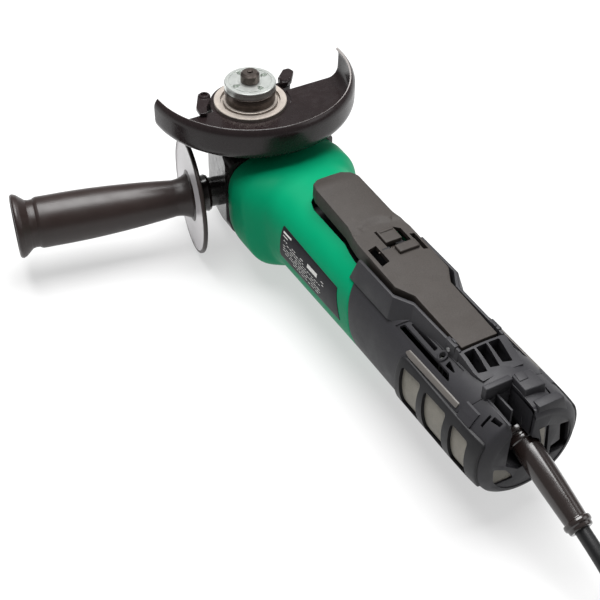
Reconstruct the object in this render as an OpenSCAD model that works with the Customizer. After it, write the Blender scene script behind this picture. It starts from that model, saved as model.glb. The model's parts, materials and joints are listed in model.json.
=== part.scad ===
// Corded angle grinder with a paddle switch, lying on its back with the spindle up.
// Origin: spindle axis 0.4 mm above the lock nut's outer face, where the free thread starts. +Z leaves the spindle end,
// -Y runs along the body to the tail, -X is the side that holds the auxiliary handle.

/* [Spindle and head] */
// Radius of the spindle thread, M14
spindle_r = 7; // [6.8:0.1:7.1]
// Outside radius of the lock nut and of the inner flange
nut_r = 19; // [18:0.5:20]
// Drop from the lock nut's face to the motor axis
motor_drop = 60; // [60:0.5:61]
// Half width of the gear head
head_half_w = 43; // [42:0.5:44]

/* [Wheel guard] */
// Outside radius of the guard's wall
guard_r = 77; // [76:1:79]
// Radius of the rim of the curled lip
lip_r = 71.5; // [71:0.5:72]

/* [Body] */
// Y of the plane where the motor housing meets the rear housing
joint_y = -206; // [-207:1:-205]
// Y of the tail's end face
tail_y = -346; // [-350:1:-344]
// Half width of the grip behind the motor
grip_half_w = 36; // [35.5:0.25:36.5]
// Wall of the plastic housings
wall = 2.6; // [2.2:0.1:2.8]

/* [Side handle] */
// Forward lean of the handle away from square
handle_lean = 12; // [8:1:14]
// Radius of the flange disc
disc_r = 44; // [40:1:44]
// Radius of the grip at its thickest
grip_r = 18.8; // [17:0.2:19]

/* [Paddle] */
// Half width of the paddle in the middle
paddle_half_w = 20; // [19:0.5:20.5]
// Angle at which the released paddle stands up from its hinge
paddle_rise = 3; // [2.6:0.1:3.2]
// Radius of the paddle's hinge pin
hinge_pin_r = 1.5; // [1.2:0.1:1.6]

/* [Mains cord] */
// Diameter of the mains cord
cord_d = 9.2; // [8.8:0.1:9.4]

/* [Hidden] */
$fn = 48;
clear = 0.3;
bore_gap = 0.02;
motor_z = -motor_drop;
floor_z = -118;

// --- Colours
green = [0.0, 0.55, 0.38];
charcoal = [0.22, 0.22, 0.24];
taupe = [0.38, 0.35, 0.33];
brown_black = [0.17, 0.14, 0.13];
steel = [0.72, 0.74, 0.73];
dark_steel = [0.25, 0.24, 0.24];
pale_metal = [0.78, 0.74, 0.7];
copper = [0.72, 0.42, 0.2];

// --- Section and sweep helpers
function spow(v, e) = sign(v) * pow(abs(v), e);

// One ring of a superellipse section. s = [y, half width, top z, bottom z, exponent]; d shrinks it.
function ring(s, d, n) =
  let (zc = motor_z, a = s[1] - d, ht = s[2] - zc - d, hb = zc - s[3] - d)
  [for (i = [0:n - 1]) let (t = 360 * i / n, c = cos(t), w = sin(t))
    [a * spow(c, 2 / s[4]), s[0], zc + (w > 0 ? ht : hb) * spow(w, 2 / s[4])]];

// Faces of the side wall between successive rings of n points, starting at point k
function wall_faces(k, count, n, flip) =
  [for (j = [0:count - 2]) for (i = [0:n - 1])
    let (a = k + j * n + i, b = k + j * n + (i + 1) % n,
      c = k + (j + 1) * n + (i + 1) % n, e = k + (j + 1) * n + i)
    each (flip ? [[a, b, c], [a, c, e]] : [[a, c, b], [a, e, c]])];

// Solid through the stations, shrunk by d
module loft(stations, d = 0, n = 48) {
  m = len(stations);
  points = [for (s = stations) each ring(s, d, n)];
  caps = [[for (i = [0:n - 1]) i], [for (i = [n - 1:-1:0]) (m - 1) * n + i]];
  polyhedron(points, concat(wall_faces(0, m, n, false), caps));
}

// Open tube of the given wall through the stations
module shell(stations, t, n = 48) {
  m = len(stations);
  points = concat([for (s = stations) each ring(s, 0, n)], [for (s = stations) each ring(s, t, n)]);
  first = [for (i = [0:n - 1]) each [[i, (i + 1) % n, m * n + (i + 1) % n], [i, m * n + (i + 1) % n, m * n + i]]];
  base = (m - 1) * n;
  last = [for (i = [0:n - 1]) each [
    [base + (i + 1) % n, base + i, m * n + base + i],
    [base + (i + 1) % n, m * n + base + i, m * n + base + (i + 1) % n]]];
  polyhedron(points, concat(wall_faces(0, m, n, false), wall_faces(m * n, m, n, true), first, last));
}

function unit(v) = v / norm(v);

// Tube of radius r with n sides along a list of points
module sweep(path, r, n = 8) {
  m = len(path);
  points = [for (i = [0:m - 1])
    let (t = unit(path[min(i + 1, m - 1)] - path[max(i - 1, 0)]),
      side = unit(cross(t, abs(t[2]) > 0.9 ? [1, 0, 0] : [0, 0, 1])), up = cross(side, t))
    for (k = [0:n - 1]) path[i] + r * (cos(360 * k / n) * side + sin(360 * k / n) * up)];
  caps = [[for (i = [n - 1:-1:0]) i], [for (i = [0:n - 1]) (m - 1) * n + i]];
  polyhedron(points, concat(wall_faces(0, m, n, true), caps));
}

function arc(c, r, a0, a1, n) = [for (i = [0:n]) let (a = a0 + (a1 - a0) * i / n) c + r * [cos(a), sin(a)]];

// Cylinder along -Y from y0, of length h, centred on x and z
module rod_y(x, z, y0, h, r, r2 = 0) {
  translate([x, y0, z]) rotate([90, 0, 0]) cylinder(h = h, r1 = r, r2 = r2 > 0 ? r2 : r);
}

// Washer shape along Z between two heights
module ring_z(ri, ro, z0, z1) {
  translate([0, 0, z0]) difference() {
    cylinder(h = z1 - z0, r = ro);
    translate([0, 0, -1]) cylinder(h = z1 - z0 + 2, r = ri);
  }
}

// Ball bearing along Z from z = 0, with its races joined by shields
module bearing(ri, ro, w) {
  race = (ro - ri) * 0.28;
  rotate_extrude() polygon([[ri, 0], [ri + race, 0], [ri + race, 0.7], [ro - race, 0.7], [ro - race, 0],
    [ro, 0], [ro, w], [ro - race, w], [ro - race, w - 0.7], [ri + race, w - 0.7], [ri + race, w], [ri, w]]);
}

// Coil spring along Z from z = 0
module spring(r, wire, turns, h, steps = 12) {
  sweep([for (i = [0:turns * steps]) let (a = 360 * i / steps)
    [r * cos(a), r * sin(a), wire + (h - 2 * wire) * i / (turns * steps)]], wire, 6);
}

// --- Stations of the body: [y, half width, top z, bottom z, exponent]
seam_y = -311;
HOUSING = [[-48, head_half_w + 2, -28, -100.5, 3.4], [-60, head_half_w + 4, -27.5, -103, 3.3],
  [-76, head_half_w + 4.3, -27.2, -103, 3.1], [-84, head_half_w + 0.5, -26.8, -100.5, 2.9],
  [-93, grip_half_w + 2, -26.3, -97, 2.6], [-104, grip_half_w + 0.8, -26, -95.8, 2.5],
  [-150, grip_half_w + 0.5, -25.5, -95.5, 2.4], [joint_y, grip_half_w, -25, -95.5, 2.3]];
REAR = [[joint_y, grip_half_w, -25, -95.5, 2.3], [-250, grip_half_w + 0.2, -25, -96.5, 2.2],
  [seam_y, grip_half_w + 0.6, -24.5, -97, 2.1]];
TAIL = [[seam_y, grip_half_w + 0.6, -24.5, -97, 2.1], [-325, grip_half_w + 0.4, -24.5, -97, 2.1],
  [tail_y + 5, grip_half_w - 0.6, -25.5, -96, 2.1], [tail_y, grip_half_w - 4.5, -29.5, -92, 2.1]];

// --- Gear head
chamber_r = 23.05;
core_r = spindle_r - 0.4;
gland_z = -27;
neck_z = -16.2;
flange_low = -15.5;
case_z = -31;
spindle_bearing_r = 17.5;
boss_r = 9;
pinion_bearing_r = 13;
lock_x_y = [0, 11.5];
lock_seat_z = -86.5;

handle_o = [0, -27.5, -74];
socket_t = 47;
socket_depth = 14;
socket_r = 4;

// Places children on a handle axis, with +Z outward; side is -1 on the left and 1 on the right
module on_handle(side) {
  translate(handle_o) rotate([0, 0, side < 0 ? 180 - handle_lean : handle_lean]) rotate([0, 90, 0]) children();
}

module head_outline() {
  hull() {
    circle(r = 33);
    translate([-head_half_w + 6, -42]) circle(r = 6);
    translate([head_half_w - 6, -42]) circle(r = 6);
    translate([-head_half_w, -47.9]) square([2 * head_half_w, 1]);
  }
}

module head_section() {
  hull() {
    for (x = [-1, 1]) {
      translate([x * (head_half_w - 13), -97.5 + 13]) circle(r = 13);
      translate([x * (head_half_w - 6), case_z - 6]) circle(r = 6);
    }
  }
}

module gear_case() {
  color(brown_black) difference() {
    union() {
      intersection() {
        translate([0, 0, -98]) linear_extrude(98 + case_z) head_outline();
        translate([0, 40, 0]) rotate([90, 0, 0]) linear_extrude(100) head_section();
      }
      for (side = [-1, 1]) on_handle(side) translate([0, 0, 30]) cylinder(h = socket_t - 30, r = 11);
    }
    translate([0, 0, -90]) difference() {
      cylinder(h = 70, r = chamber_r);
      translate([0, 0, -1]) cylinder(h = 17, r = boss_r);
      translate([lock_x_y[0], lock_x_y[1], -1]) cylinder(h = 7, r = 8);
    }
    translate([0, 0, -86]) cylinder(h = 20, r = 7.5);
    rod_y(0, motor_z, -15, 15.1, 11);
    rod_y(0, motor_z, -29.9, 8.2, pinion_bearing_r + bore_gap);
    rod_y(0, motor_z, -37, 20, 31);
    for (side = [-1, 1]) on_handle(side) translate([0, 0, socket_t - socket_depth]) cylinder(h = 20, r = socket_r);
    translate([lock_x_y[0], lock_x_y[1], -100]) {
      cylinder(h = 20, r = 2.05);
      cylinder(h = 100 + lock_seat_z, r = 6.1);
    }
    for (x = [-1, 1]) for (y = [-1, 1]) translate([x * 27, y * 27 * (y > 0 ? 0.5 : 1), -43]) cylinder(h = 20, r = 1.98);
  }
}

module gland_flange() {
  hull() {
    for (x = [-1, 1]) {
      translate([x * 27, 13.5]) circle(r = 5);
      translate([x * 27, -27]) circle(r = 5);
    }
  }
}

module packing_gland() {
  color(pale_metal) difference() {
    union() {
      rotate_extrude() polygon([[15, gland_z], [15, -24], [22.4, -24], [22.4, neck_z], [26.8, neck_z],
        [27.2, neck_z - 0.4], [27.2, case_z], [23, case_z], [23, -38], [17.5, -38], [17.5, gland_z]]);
      translate([0, 0, case_z]) difference() {
        linear_extrude(gland_z - case_z) union() {
          gland_flange();
          circle(r = 30);
        }
        translate([0, 0, -1]) cylinder(h = 8, r = 25);
      }
    }
    for (x = [-1, 1]) for (y = [-1, 1]) translate([x * 27, y * 27 * (y > 0 ? 0.5 : 1), case_z - 1]) {
      cylinder(h = 8, r = 2.1);
      translate([0, 0, 2.6]) cylinder(h = 8, r = 3.8);
    }
  }
}

module gland_screws() {
  color(steel) for (x = [-1, 1]) for (y = [-1, 1]) translate([x * 27, y * 27 * (y > 0 ? 0.5 : 1), 0]) difference() {
    union() {
      translate([0, 0, -41]) cylinder(h = 12, r = 1.96);
      translate([0, 0, case_z + 1.6]) cylinder(h = 2.1, r = 3.7);
    }
    translate([0, 0, case_z + 2.6]) cylinder(h = 3, r = 1.6, $fn = 6);
  }
}

module bearing_retainer() {
  color(pale_metal) rotate_extrude() polygon([[10, -23.98], [22.35, -23.98], [22.35, neck_z - 2.4],
    [20.4, neck_z - 2.4], [20.4, neck_z + 0.2], [20, neck_z + 0.5], [18, neck_z + 0.5], [18, neck_z - 0.9],
    [10, neck_z - 0.9]]);
}

module spindle_bearing_front() {
  color(steel) translate([0, 0, -37.8]) bearing(7.5 + bore_gap, spindle_bearing_r - bore_gap, 10.7);
}

module spindle_bearing_rear() {
  color(steel) translate([0, 0, -86]) ring_z(5 + bore_gap, 7.5 - bore_gap, 0.2, 10);
}

module spindle_shaft() {
  color(dark_steel) difference() {
    rotate_extrude() polygon([[0, 7], [spindle_r - 1.6, 7], [spindle_r - 0.4, 5.8], [spindle_r, 5.4],
      [spindle_r, 0], [core_r, 0], [core_r, flange_low], [9.5, flange_low], [9.5, gland_z - 0.1],
      [7.5, gland_z - 0.1], [7.5, -39], [9.5, -39], [9.5, -41],
      [6.98, -41], [6.98, -56], [5, -58], [5, -85], [0, -85]]);
    translate([0, 0, 3]) cylinder(h = 5, r = 1.4);
    translate([0, 0, 6]) cylinder(h = 2, r1 = 1.4, r2 = 3.4);
  }
}

// Bevel teeth share one apex, where the spindle axis meets the motor axis
gear_teeth = 37;
pinion_teeth = 11;
gear_module = 1.1;
addendum = 0.75;
dedendum = 1.05;
inner_scale = 0.7;
pitch_gear = gear_teeth * gear_module / 2;
pitch_pinion = pinion_teeth * gear_module / 2;
cone_length = norm([pitch_gear, pitch_pinion]);

// One tooth about +Z, apex at the origin: [radius, height] of root and tip, and the way it points
module bevel_tooth(root, tip, root_half, tip_half) {
  outer = [[root[0], -root_half, root[1]], [root[0], root_half, root[1]],
    [tip[0], tip_half, tip[1]], [tip[0], -tip_half, tip[1]]];
  inner = [for (p = outer) p * inner_scale];
  up = tip[1] > root[1];
  faces = [[0, 1, 2, 3], [7, 6, 5, 4], [0, 4, 5, 1], [1, 5, 6, 2], [2, 6, 7, 3], [3, 7, 4, 0]];
  polyhedron(concat(outer, inner), up ? [for (f = faces) [for (i = [3:-1:0]) f[i]]] : faces);
}

module drive_gear() {
  n = [pitch_pinion, -pitch_gear] / cone_length;
  p = [pitch_gear, pitch_pinion];
  root = p - n * (dedendum + 0.2);
  tip = p + n * addendum;
  surface = p - n * dedendum;
  color(dark_steel) translate([0, 0, motor_z]) {
    difference() {
      rotate_extrude() polygon([[7, -41.1 - motor_z], [14, -41.1 - motor_z], [21.3, 12.5], [21.3, surface[1] + 0.5],
        surface, surface * inner_scale, [13.7, 5.6], [13.7, 7], [7, 7]]);
      for (a = [0:90:270]) rotate(a) translate([lock_x_y[1], 0, 6]) cylinder(h = 5, r = 2.3);
    }
    for (i = [0:gear_teeth - 1]) rotate(-90 + 360 * (i + 0.5) / gear_teeth) bevel_tooth(root, tip, 0.84, 0.4);
  }
}

module pinion_gear() {
  n = [pitch_gear, -pitch_pinion] / cone_length;
  p = [pitch_pinion, pitch_gear];
  root = p - n * (dedendum + 0.2);
  tip = p + n * addendum;
  surface = p - n * dedendum;
  color(dark_steel) translate([0, 0, motor_z]) rotate([90, 0, 0]) {
    difference() {
      rotate_extrude() polygon([[2.52, surface[1] * inner_scale], surface * inner_scale, surface,
        [6.4, surface[1] + 0.4], [6.4, 27], [2.52, 27]]);
    }
    for (i = [0:pinion_teeth - 1]) rotate(90 + 360 * i / pinion_teeth) bevel_tooth(root, tip, 0.84, 0.4);
  }
}

module inner_flange() {
  color(dark_steel) rotate_extrude() polygon([[core_r + bore_gap, -6.05], [nut_r - 0.6, -6.05], [nut_r, -6.6],
    [nut_r, -10], [nut_r - 0.5, -10.5], [nut_r - 0.5, flange_low + 0.02],
    [core_r + bore_gap, flange_low + 0.02]]);
}

module lock_nut() {
  color(steel) difference() {
    rotate_extrude() polygon([[core_r + bore_gap, -0.4], [nut_r - 0.5, -0.4], [nut_r, -0.9], [nut_r, -5.5],
      [nut_r - 0.5, -6], [core_r + bore_gap, -6]]);
    for (a = [9:90:279]) rotate(a) {
      translate([12.8, 0, -4]) cylinder(h = 8, r = 2.2);
      translate([10.6, 0, -4]) cylinder(h = 8, r = 1.3);
    }
    ring_z(15.2, 16, -0.8, 1);
  }
}

// --- Wheel guard: a half bowl with its middle toward the tail
floor_top = -17.6;
floor_low = -19.6;
lug_low = -24.4;
collar_in = 27.5;
collar_out = 30;
corner_r = 10;
lip_z = 0;

module wheel_guard() {
  outer = concat([[collar_out + bore_gap, floor_low]],
    arc([guard_r - corner_r, floor_low + corner_r], corner_r, -90, 0, 6),
    [[guard_r, lip_z]], arc([guard_r - 9, lip_z], 9, 0, 50, 4));
  inner = concat(arc([guard_r - 9, lip_z], 7.2, 50, 0, 4),
    arc([guard_r - corner_r, floor_low + corner_r], corner_r - 2, 0, -90, 6), [[collar_out + bore_gap, floor_top]]);
  color(brown_black) rotate(180) rotate_extrude(angle = 180) polygon(concat(outer, inner));
}

module guard_collar() {
  color(brown_black) {
    ring_z(collar_in, collar_out, -25.9, floor_top - 1.2);
    for (p = [[34, 9, 16], [-29.5, 17, 150]]) difference() {
      translate([0, 0, lug_low]) linear_extrude(5.6) hull() {
        translate([p[0], p[1]]) circle(r = 4.5);
        rotate(p[2]) translate([collar_out + 0.5, 0]) square([1, 9], center = true);
      }
      translate([p[0], p[1], lug_low - 1]) cylinder(h = 10, r = 2.02);
      translate([0, 0, -40]) cylinder(h = 30, r = collar_out - 0.5);
    }
  }
}

module guard_clamp_screw() {
  color(brown_black) translate([-29.5, 17, 0]) difference() {
    union() {
      translate([0, 0, lug_low]) cylinder(h = 6, r = 1.98);
      translate([0, 0, lug_low + 5.62]) cylinder(h = 5, r = 4.4);
    }
    translate([0, 0, lug_low + 8]) cylinder(h = 5, r = 2.2, $fn = 6);
  }
}

module guard_lever() {
  color(brown_black) translate([34, 9, 0]) {
    translate([0, 0, lug_low]) cylinder(h = 8, r = 1.97);
    translate([0, 0, lug_low + 6]) {
      cylinder(h = 5.5, r = 4.2);
      linear_extrude(4) hull() {
        circle(r = 4);
        translate([8, 9]) circle(r = 3);
      }
    }
  }
}

// --- Spindle lock
module lock_button() {
  color(charcoal) translate([lock_x_y[0], lock_x_y[1], 0]) {
    translate([0, 0, -97.2]) cylinder(h = 3.2, r = 5.7);
    translate([0, 0, -94.5]) cylinder(h = 38.5, r = 2);
  }
}

module lock_spring() {
  color(steel) translate([lock_x_y[0], lock_x_y[1], -93.98]) spring(3.1, 0.35, 3, 7.46, 10);
}

// --- Armature, along -Y on the motor axis
fan_y = -45;
rotor_y = -67;
rotor_len = 40;
rear_bearing_y = -121;

module armature_bearing_front() {
  color(steel) translate([0, -30, motor_z]) rotate([90, 0, 0]) bearing(5 + bore_gap, pinion_bearing_r, 8);
}

module armature_bearing_rear() {
  color(steel) translate([0, rear_bearing_y, motor_z]) rotate([90, 0, 0]) bearing(4 + bore_gap, 11, 7);
}

module rear_bearing_bush() {
  color([0.1, 0.1, 0.1]) translate([0, rear_bearing_y, motor_z]) rotate([90, 0, 0]) ring_z(11.02, 13.48, 0, 9);
}

module armature_shaft() {
  color(steel) translate([0, 0, motor_z]) rotate([90, 0, 0]) rotate_extrude() polygon([[0, 15.4], [2.1, 15.4],
    [2.5, 15.8], [2.5, 27.1], [5, 27.1], [5, 112], [5.8, 112], [5.8, 120.8], [4, 120.8], [4, 129.5], [0, 129.5]]);
}

module cooling_fan() {
  color(charcoal) translate([0, fan_y, motor_z]) rotate([90, 0, 0]) {
    ring_z(5 + bore_gap, 27, 9, 10.6);
    ring_z(5 + bore_gap, 9, 0, 9.01);
    for (i = [0:10]) rotate(360 * i / 11) translate([8.5, -0.7, 1.5]) rotate([0, 0, 12]) cube([17.5, 1.4, 7.6]);
  }
}

module rotor_core() {
  color(steel) translate([0, rotor_y, motor_z]) rotate([90, 0, 0]) ring_z(5 + bore_gap, 14.4, 0, rotor_len);
}

module stator_core() {
  color(dark_steel) translate([0, rotor_y, motor_z]) rotate([90, 0, 0]) linear_extrude(rotor_len) difference() {
    circle(r = 28.5);
    difference() {
      circle(r = 24.5);
      for (a = [30:60:330]) rotate(a) {
        translate([18.4, -3.5]) square([7, 7]);
        translate([15.2, -6]) square([3.4, 12]);
      }
    }
    circle(r = 15.2);
  }
}

module stator_windings() {
  color(copper) translate([0, rotor_y, motor_z]) rotate([90, 0, 0]) for (a = [30:60:330]) rotate(a) difference() {
    translate([18.7, -5.6, -2.5]) cube([5, 11.2, rotor_len + 5]);
    translate([18, -3.55, -0.05]) cube([7, 7.1, rotor_len + 0.1]);
  }
}

module fan_guide() {
  color(charcoal) translate([0, -60, motor_z]) rotate([90, 0, 0]) ring_z(20, 29.4, 0, 2);
}

// --- Motor housing
well_floor = -36;
well_front = -112;
well_half_w = paddle_half_w + 3;
narrow_half_w = 16.5;
narrow_y = -240;
hinge_y = -281;
hinge_z = -25;
well_end = -289;
rim_z = -20;
screw_x = 20.2;
screw_y = -279.5;

// Plan of the space that the paddle sinks into
module well_plan(grow) {
  polygon([[-18.6 - grow, well_front + grow], [18.6 + grow, well_front + grow],
    [well_half_w + grow, -168], [well_half_w + grow, -228], [narrow_half_w + grow, narrow_y],
    [narrow_half_w + grow, well_end - grow], [-narrow_half_w - grow, well_end - grow],
    [-narrow_half_w - grow, narrow_y], [-well_half_w - grow, -228], [-well_half_w - grow, -168]]);
}

// Body section with the paddle's well let into its top
module welled_shell(stations) {
  difference() {
    shell(stations, wall);
    translate([0, 0, well_floor]) linear_extrude(40) well_plan(0);
  }
  difference() {
    intersection() {
      loft(stations, 0.02);
      translate([0, 0, well_floor - 2]) linear_extrude(20) well_plan(2);
    }
    translate([0, 0, well_floor]) linear_extrude(40) well_plan(0);
    translate([-4, -242, well_floor - 5]) cube([8, 8, 10]);
  }
}

module motor_housing() {
  color(green) {
    welled_shell(HOUSING);
    for (a = [45:90:315]) translate([0, -62.1, motor_z]) rotate([90, 0, 0]) rotate(a) translate([28.55, -2, 0])
      cube([a > 180 ? 17.5 : 11.5, 4, 46]);
    difference() {
      intersection() {
        translate([-60, rear_bearing_y - 9, -110]) cube([120, 9, 200]);
        loft(HOUSING, 0.5);
        translate([0, 0, -110]) linear_extrude(110 + well_floor) square([200, 600], center = true);
      }
      rod_y(0, motor_z, rear_bearing_y + 1, 12, 13.5);
      for (a = [0:60:300]) translate([0, 0, motor_z]) rotate([0, a, 0]) translate([22.5, rear_bearing_y + 1, 0])
        rotate([90, 0, 0]) cylinder(h = 12, r = 5.5);
    }
  }
}

module data_plate() {
  color([0.18, 0.18, 0.2]) intersection() {
    difference() {
      loft(HOUSING, -0.35);
      loft(HOUSING, 0);
    }
    translate([-80, -190, -69]) cube([70, 78, 25]);
  }
}

// --- Rear housing and tail
window_z = [-76, -47];
rear_windows = [[-282, -262], [-309, -286]];
tail_windows = [[-332, -314]];

module windows(list, inset) {
  for (w = list) for (side = [-1, 1])
    translate([side > 0 ? 20 : -60, w[0] + inset, window_z[0] + inset])
      cube([40, w[1] - w[0] - 2 * inset, window_z[1] - window_z[0] - 2 * inset]);
}

module rear_housing() {
  color(charcoal) difference() {
    union() {
      welled_shell(REAR);
      translate([0, 0, well_floor - 1]) linear_extrude(rim_z - well_floor + 1) intersection() {
        difference() {
          well_plan(2);
          well_plan(0);
        }
        translate([-50, well_end - 10]) square([100, joint_y - well_end + 10]);
      }
      for (side = [-1, 1]) translate([side * 16.2 - 1.7, hinge_y - 5, well_floor - 1]) cube([3.4, 10, 14.5]);
      translate([-9, hinge_y + 6, -68.5]) cube([18, 2, 32]);
    }
    translate([-18.2, hinge_y, hinge_z]) rotate([0, 90, 0]) cylinder(h = 36.4, r = hinge_pin_r + 0.01);
    windows(rear_windows, 0);
    for (x = [-6.6, 0.6, 7.8]) translate([x - 3, -303, -32]) cube([6, 11.5, 12]);
    for (side = [-1, 1]) translate([side * screw_x, screw_y, -50]) cylinder(h = 40, r = 1.72);
  }
}

module tail_cover() {
  color(charcoal) {
    difference() {
      union() {
        shell(TAIL, wall);
        difference() {
          loft([TAIL[2], TAIL[3]], 0.3);
          along_boot() cylinder(h = 60, r = 8.65);
        }
        translate([-2, tail_y + 11, -40]) cube([15, 15, 20]);
      }
      windows(tail_windows, 0);
      translate([-18, tail_y - 1, -60]) cube([15.9, 26, 42]);
      translate([6.5, tail_y - 1, -67]) cube([2.5, 3.5, 24]);
      translate([19.5, tail_y - 1, -71]) cube([8, 2.5, 23]);
      translate([13, tail_y - 1, -71]) cube([7, 2.5, 9]);
      translate([-27, tail_y - 1, -78]) cube([16, 2.5, 14]);
    }
    translate([-19, tail_y + 25, -30]) cube([17.5, 3.5, 9]);
  }
}

module housing_screws() {
  color(steel) for (side = [-1, 1]) translate([side * screw_x, screw_y, 0]) difference() {
    translate([0, 0, -48]) cylinder(h = 15, r = 1.68);
    translate([0, 0, -34]) cylinder(h = 5, r = 0.9, $fn = 6);
  }
}

// Curved mesh panels that fill the three windows on one side
module filter(side) {
  color([0.55, 0.53, 0.48]) intersection() {
    union() {
      difference() {
        loft(REAR, 0.9);
        loft(REAR, 1.9);
      }
      difference() {
        loft(TAIL, 0.9);
        loft(TAIL, 1.9);
      }
    }
    windows(concat(rear_windows, tail_windows), 0.01);
    translate([side > 0 ? 0 : -60, -400, -200]) cube([60, 400, 400]);
  }
}

module filter_left() {
  filter(-1);
}

module filter_right() {
  filter(1);
}

module filter_clips() {
  color(charcoal) for (side = [-1, 1]) intersection() {
    difference() {
      loft(TAIL, -1);
      loft(TAIL, 0);
    }
    translate([side * 30 - 6, -326, -42]) cube([12, 12, 8]);
  }
}

// --- Electrics
module controller_case() {
  color([0.12, 0.12, 0.13]) difference() {
    translate([-25, -200, -84]) cube([50, 60, 26]);
    translate([-23, -198, -81]) cube([46, 56, 30]);
  }
}

module controller_board() {
  color([0.1, 0.35, 0.2]) {
    translate([-22.5, -197.5, -80.98]) cube([45, 55, 1.6]);
    for (y = [-190, -165]) translate([-12, y, -79.4]) cylinder(h = 18, r = 8);
    for (x = [2, 11]) for (y = [-190, -172, -154]) translate([x, y, -79.4]) cube([7, 10, 5]);
  }
}

module motor_leads() {
  color([0.5, 0.08, 0.06]) for (x = [-14, 0, 14]) sweep([[x, -200.02, -70], [x, -203, -70], [x, -206, -69], [x / 2, -212, -65],
    [x / 3, -219, -60], [x / 3, -224, -58.5], [x / 3, -227.98, -58.5]], 1.4, 8);
}

switch_y = -238;

module switch_body() {
  color([0.1, 0.1, 0.11]) difference() {
    translate([-8, switch_y - 20, -64]) cube([16, 30, 24]);
    translate([0, switch_y, -50]) cylinder(h = 12, r = 2.6);
  }
}

module switch_plunger() {
  color([0.75, 0.72, 0.65]) translate([0, switch_y, 0]) {
    translate([0, 0, -47]) cylinder(h = 19.5, r = 2.5);
  }
}

// --- Paddle
paddle_top = -19.5;
paddle_low = -31;
plate_t = 3;
lock_y = -194;
lock_z = -22.3;

// Lifts the paddle and what it carries from the flat position to the released one
module released() {
  translate([0, hinge_y, hinge_z]) rotate([paddle_rise, 0, 0]) translate([0, -hinge_y, -hinge_z]) children();
}

module paddle_plan(inset) {
  m = paddle_half_w - inset;
  polygon([for (side = [-1, 1])
    for (p = side < 0 ? [[12, -113], [15.8, -116], [16.8, -122], [17.2, -165], [19, -174], [20, -182],
        [20, -226], [13.4, -238], [13, -287]]
      : [[13, -287], [13.4, -238], [20, -226], [20, -182], [19, -174], [17.2, -165], [16.8, -122], [15.8, -116],
        [12, -113]])
      [side * (p[0] - inset) * paddle_half_w / 20, p[1] + (p[1] > -114 ? -inset : (p[1] < -286 ? inset : 0))]]);
}

module paddle() {
  color(taupe) released() difference() {
    union() {
      difference() {
        translate([0, 0, paddle_low]) linear_extrude(paddle_top - paddle_low) paddle_plan(0);
        translate([0, 0, paddle_low - 1]) linear_extrude(paddle_top - plate_t - paddle_low + 1) paddle_plan(2.2);
      }
      for (side = [-1, 1]) translate([side * 12.2 - 1.1, hinge_y, hinge_z]) rotate([0, 90, 0]) cylinder(h = 2.2, r = 4);
      translate([0, switch_y, -29]) cylinder(h = 8, r = 4);
      for (side = [-1, 1]) translate([side * 10.6 - 0.9, lock_y - 3, -27]) cube([1.8, 6, 6]);
    }
    translate([-20, hinge_y, hinge_z]) rotate([0, 90, 0]) cylinder(h = 40, r = hinge_pin_r + 0.05);
    translate([-9.4, -197.6, -34]) cube([18.8, 22, 20]);
    for (side = [-1, 1]) translate([side * 15.5 - 2, -205, -25]) cube([4, 14, 10]);
    translate([-15, lock_y, lock_z]) rotate([0, 90, 0]) cylinder(h = 30, r = 1.01);
  }
}

module paddle_pin() {
  color(steel) translate([-17.9, hinge_y, hinge_z]) rotate([0, 90, 0]) cylinder(h = 35.8, r = hinge_pin_r);
}

module paddle_spring() {
  color(steel) translate([0, -218, well_floor + 0.02]) spring(4.6, 0.5, 4, 16, 12);
}

module lock_off_lever() {
  color(charcoal) released() difference() {
    union() {
      translate([-8.8, -193, lock_z + 0.4]) cube([17.6, 16.6, 2]);
      for (x = [-8.8, 3.2]) translate([x, lock_y, lock_z]) rotate([0, 90, 0]) cylinder(h = 5.6, r = 2.4);
      translate([-7, -186, -31.5]) cube([14, 2.4, 10]);
      for (x = [-8.8, 3.2]) translate([x, lock_y, lock_z + 0.4]) cube([5.6, 3, 2]);
    }
    translate([-15, lock_y, lock_z]) rotate([0, 90, 0]) cylinder(h = 30, r = 1.05);
    translate([-3.2, lock_y - 4, lock_z - 4]) cube([6.4, 6.4, 8]);
  }
}

module lock_off_pin() {
  color(steel) released() translate([-11.4, lock_y, lock_z]) rotate([0, 90, 0]) cylinder(h = 22.8, r = 1);
}

module lock_off_spring() {
  color(steel) released() translate([-2.6, lock_y, lock_z]) rotate([0, 90, 0]) spring(1.45, 0.3, 5, 5.2, 10);
}

// --- Side handle, drawn along +Z outward from the handle axis
disc_t = 60;
grip_end = 191;

module handle_collar() {
  color([0.1, 0.1, 0.1]) on_handle(-1) rotate_extrude() polygon([[4.05, socket_t + 0.02], [13, socket_t + 0.02],
    [14, 49], [13, 53], [14, disc_t - 1.9], [4.05, disc_t - 1.9]]);
}

module handle_flange() {
  color(brown_black) on_handle(-1) rotate_extrude() polygon([[4.05, disc_t - 1.88], [disc_r - 2, disc_t - 1.88],
    [disc_r, disc_t - 0.5], [disc_r, disc_t + 1], [disc_r - 2.4, disc_t + 1.6], [disc_r - 3, disc_t + 0.9],
    [20, disc_t + 0.9], [17, disc_t + 2], [4.05, disc_t + 2]]);
}

module handle_grip() {
  color(brown_black) on_handle(-1) difference() {
    rotate_extrude() polygon(concat([[0, disc_t + 2.02], [17, disc_t + 2.02], [14.6, disc_t + 9], [14.4, disc_t + 18]],
      [for (i = [1:8]) let (u = i / 8) [14.4 + (grip_r - 14.4) * sin(90 * min(1, u * 1.25)), disc_t + 18 + 96 * u]],
      [[17.4, disc_t + 117], [17.6, disc_t + 120], [22.6, disc_t + 126], [23.3, disc_t + 128],
        [22.6, grip_end - 0.6], [20, grip_end], [19, grip_end - 2], [0, grip_end - 2]]));
    cylinder(h = disc_t + 22, r = 4.05);
  }
}

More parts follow.
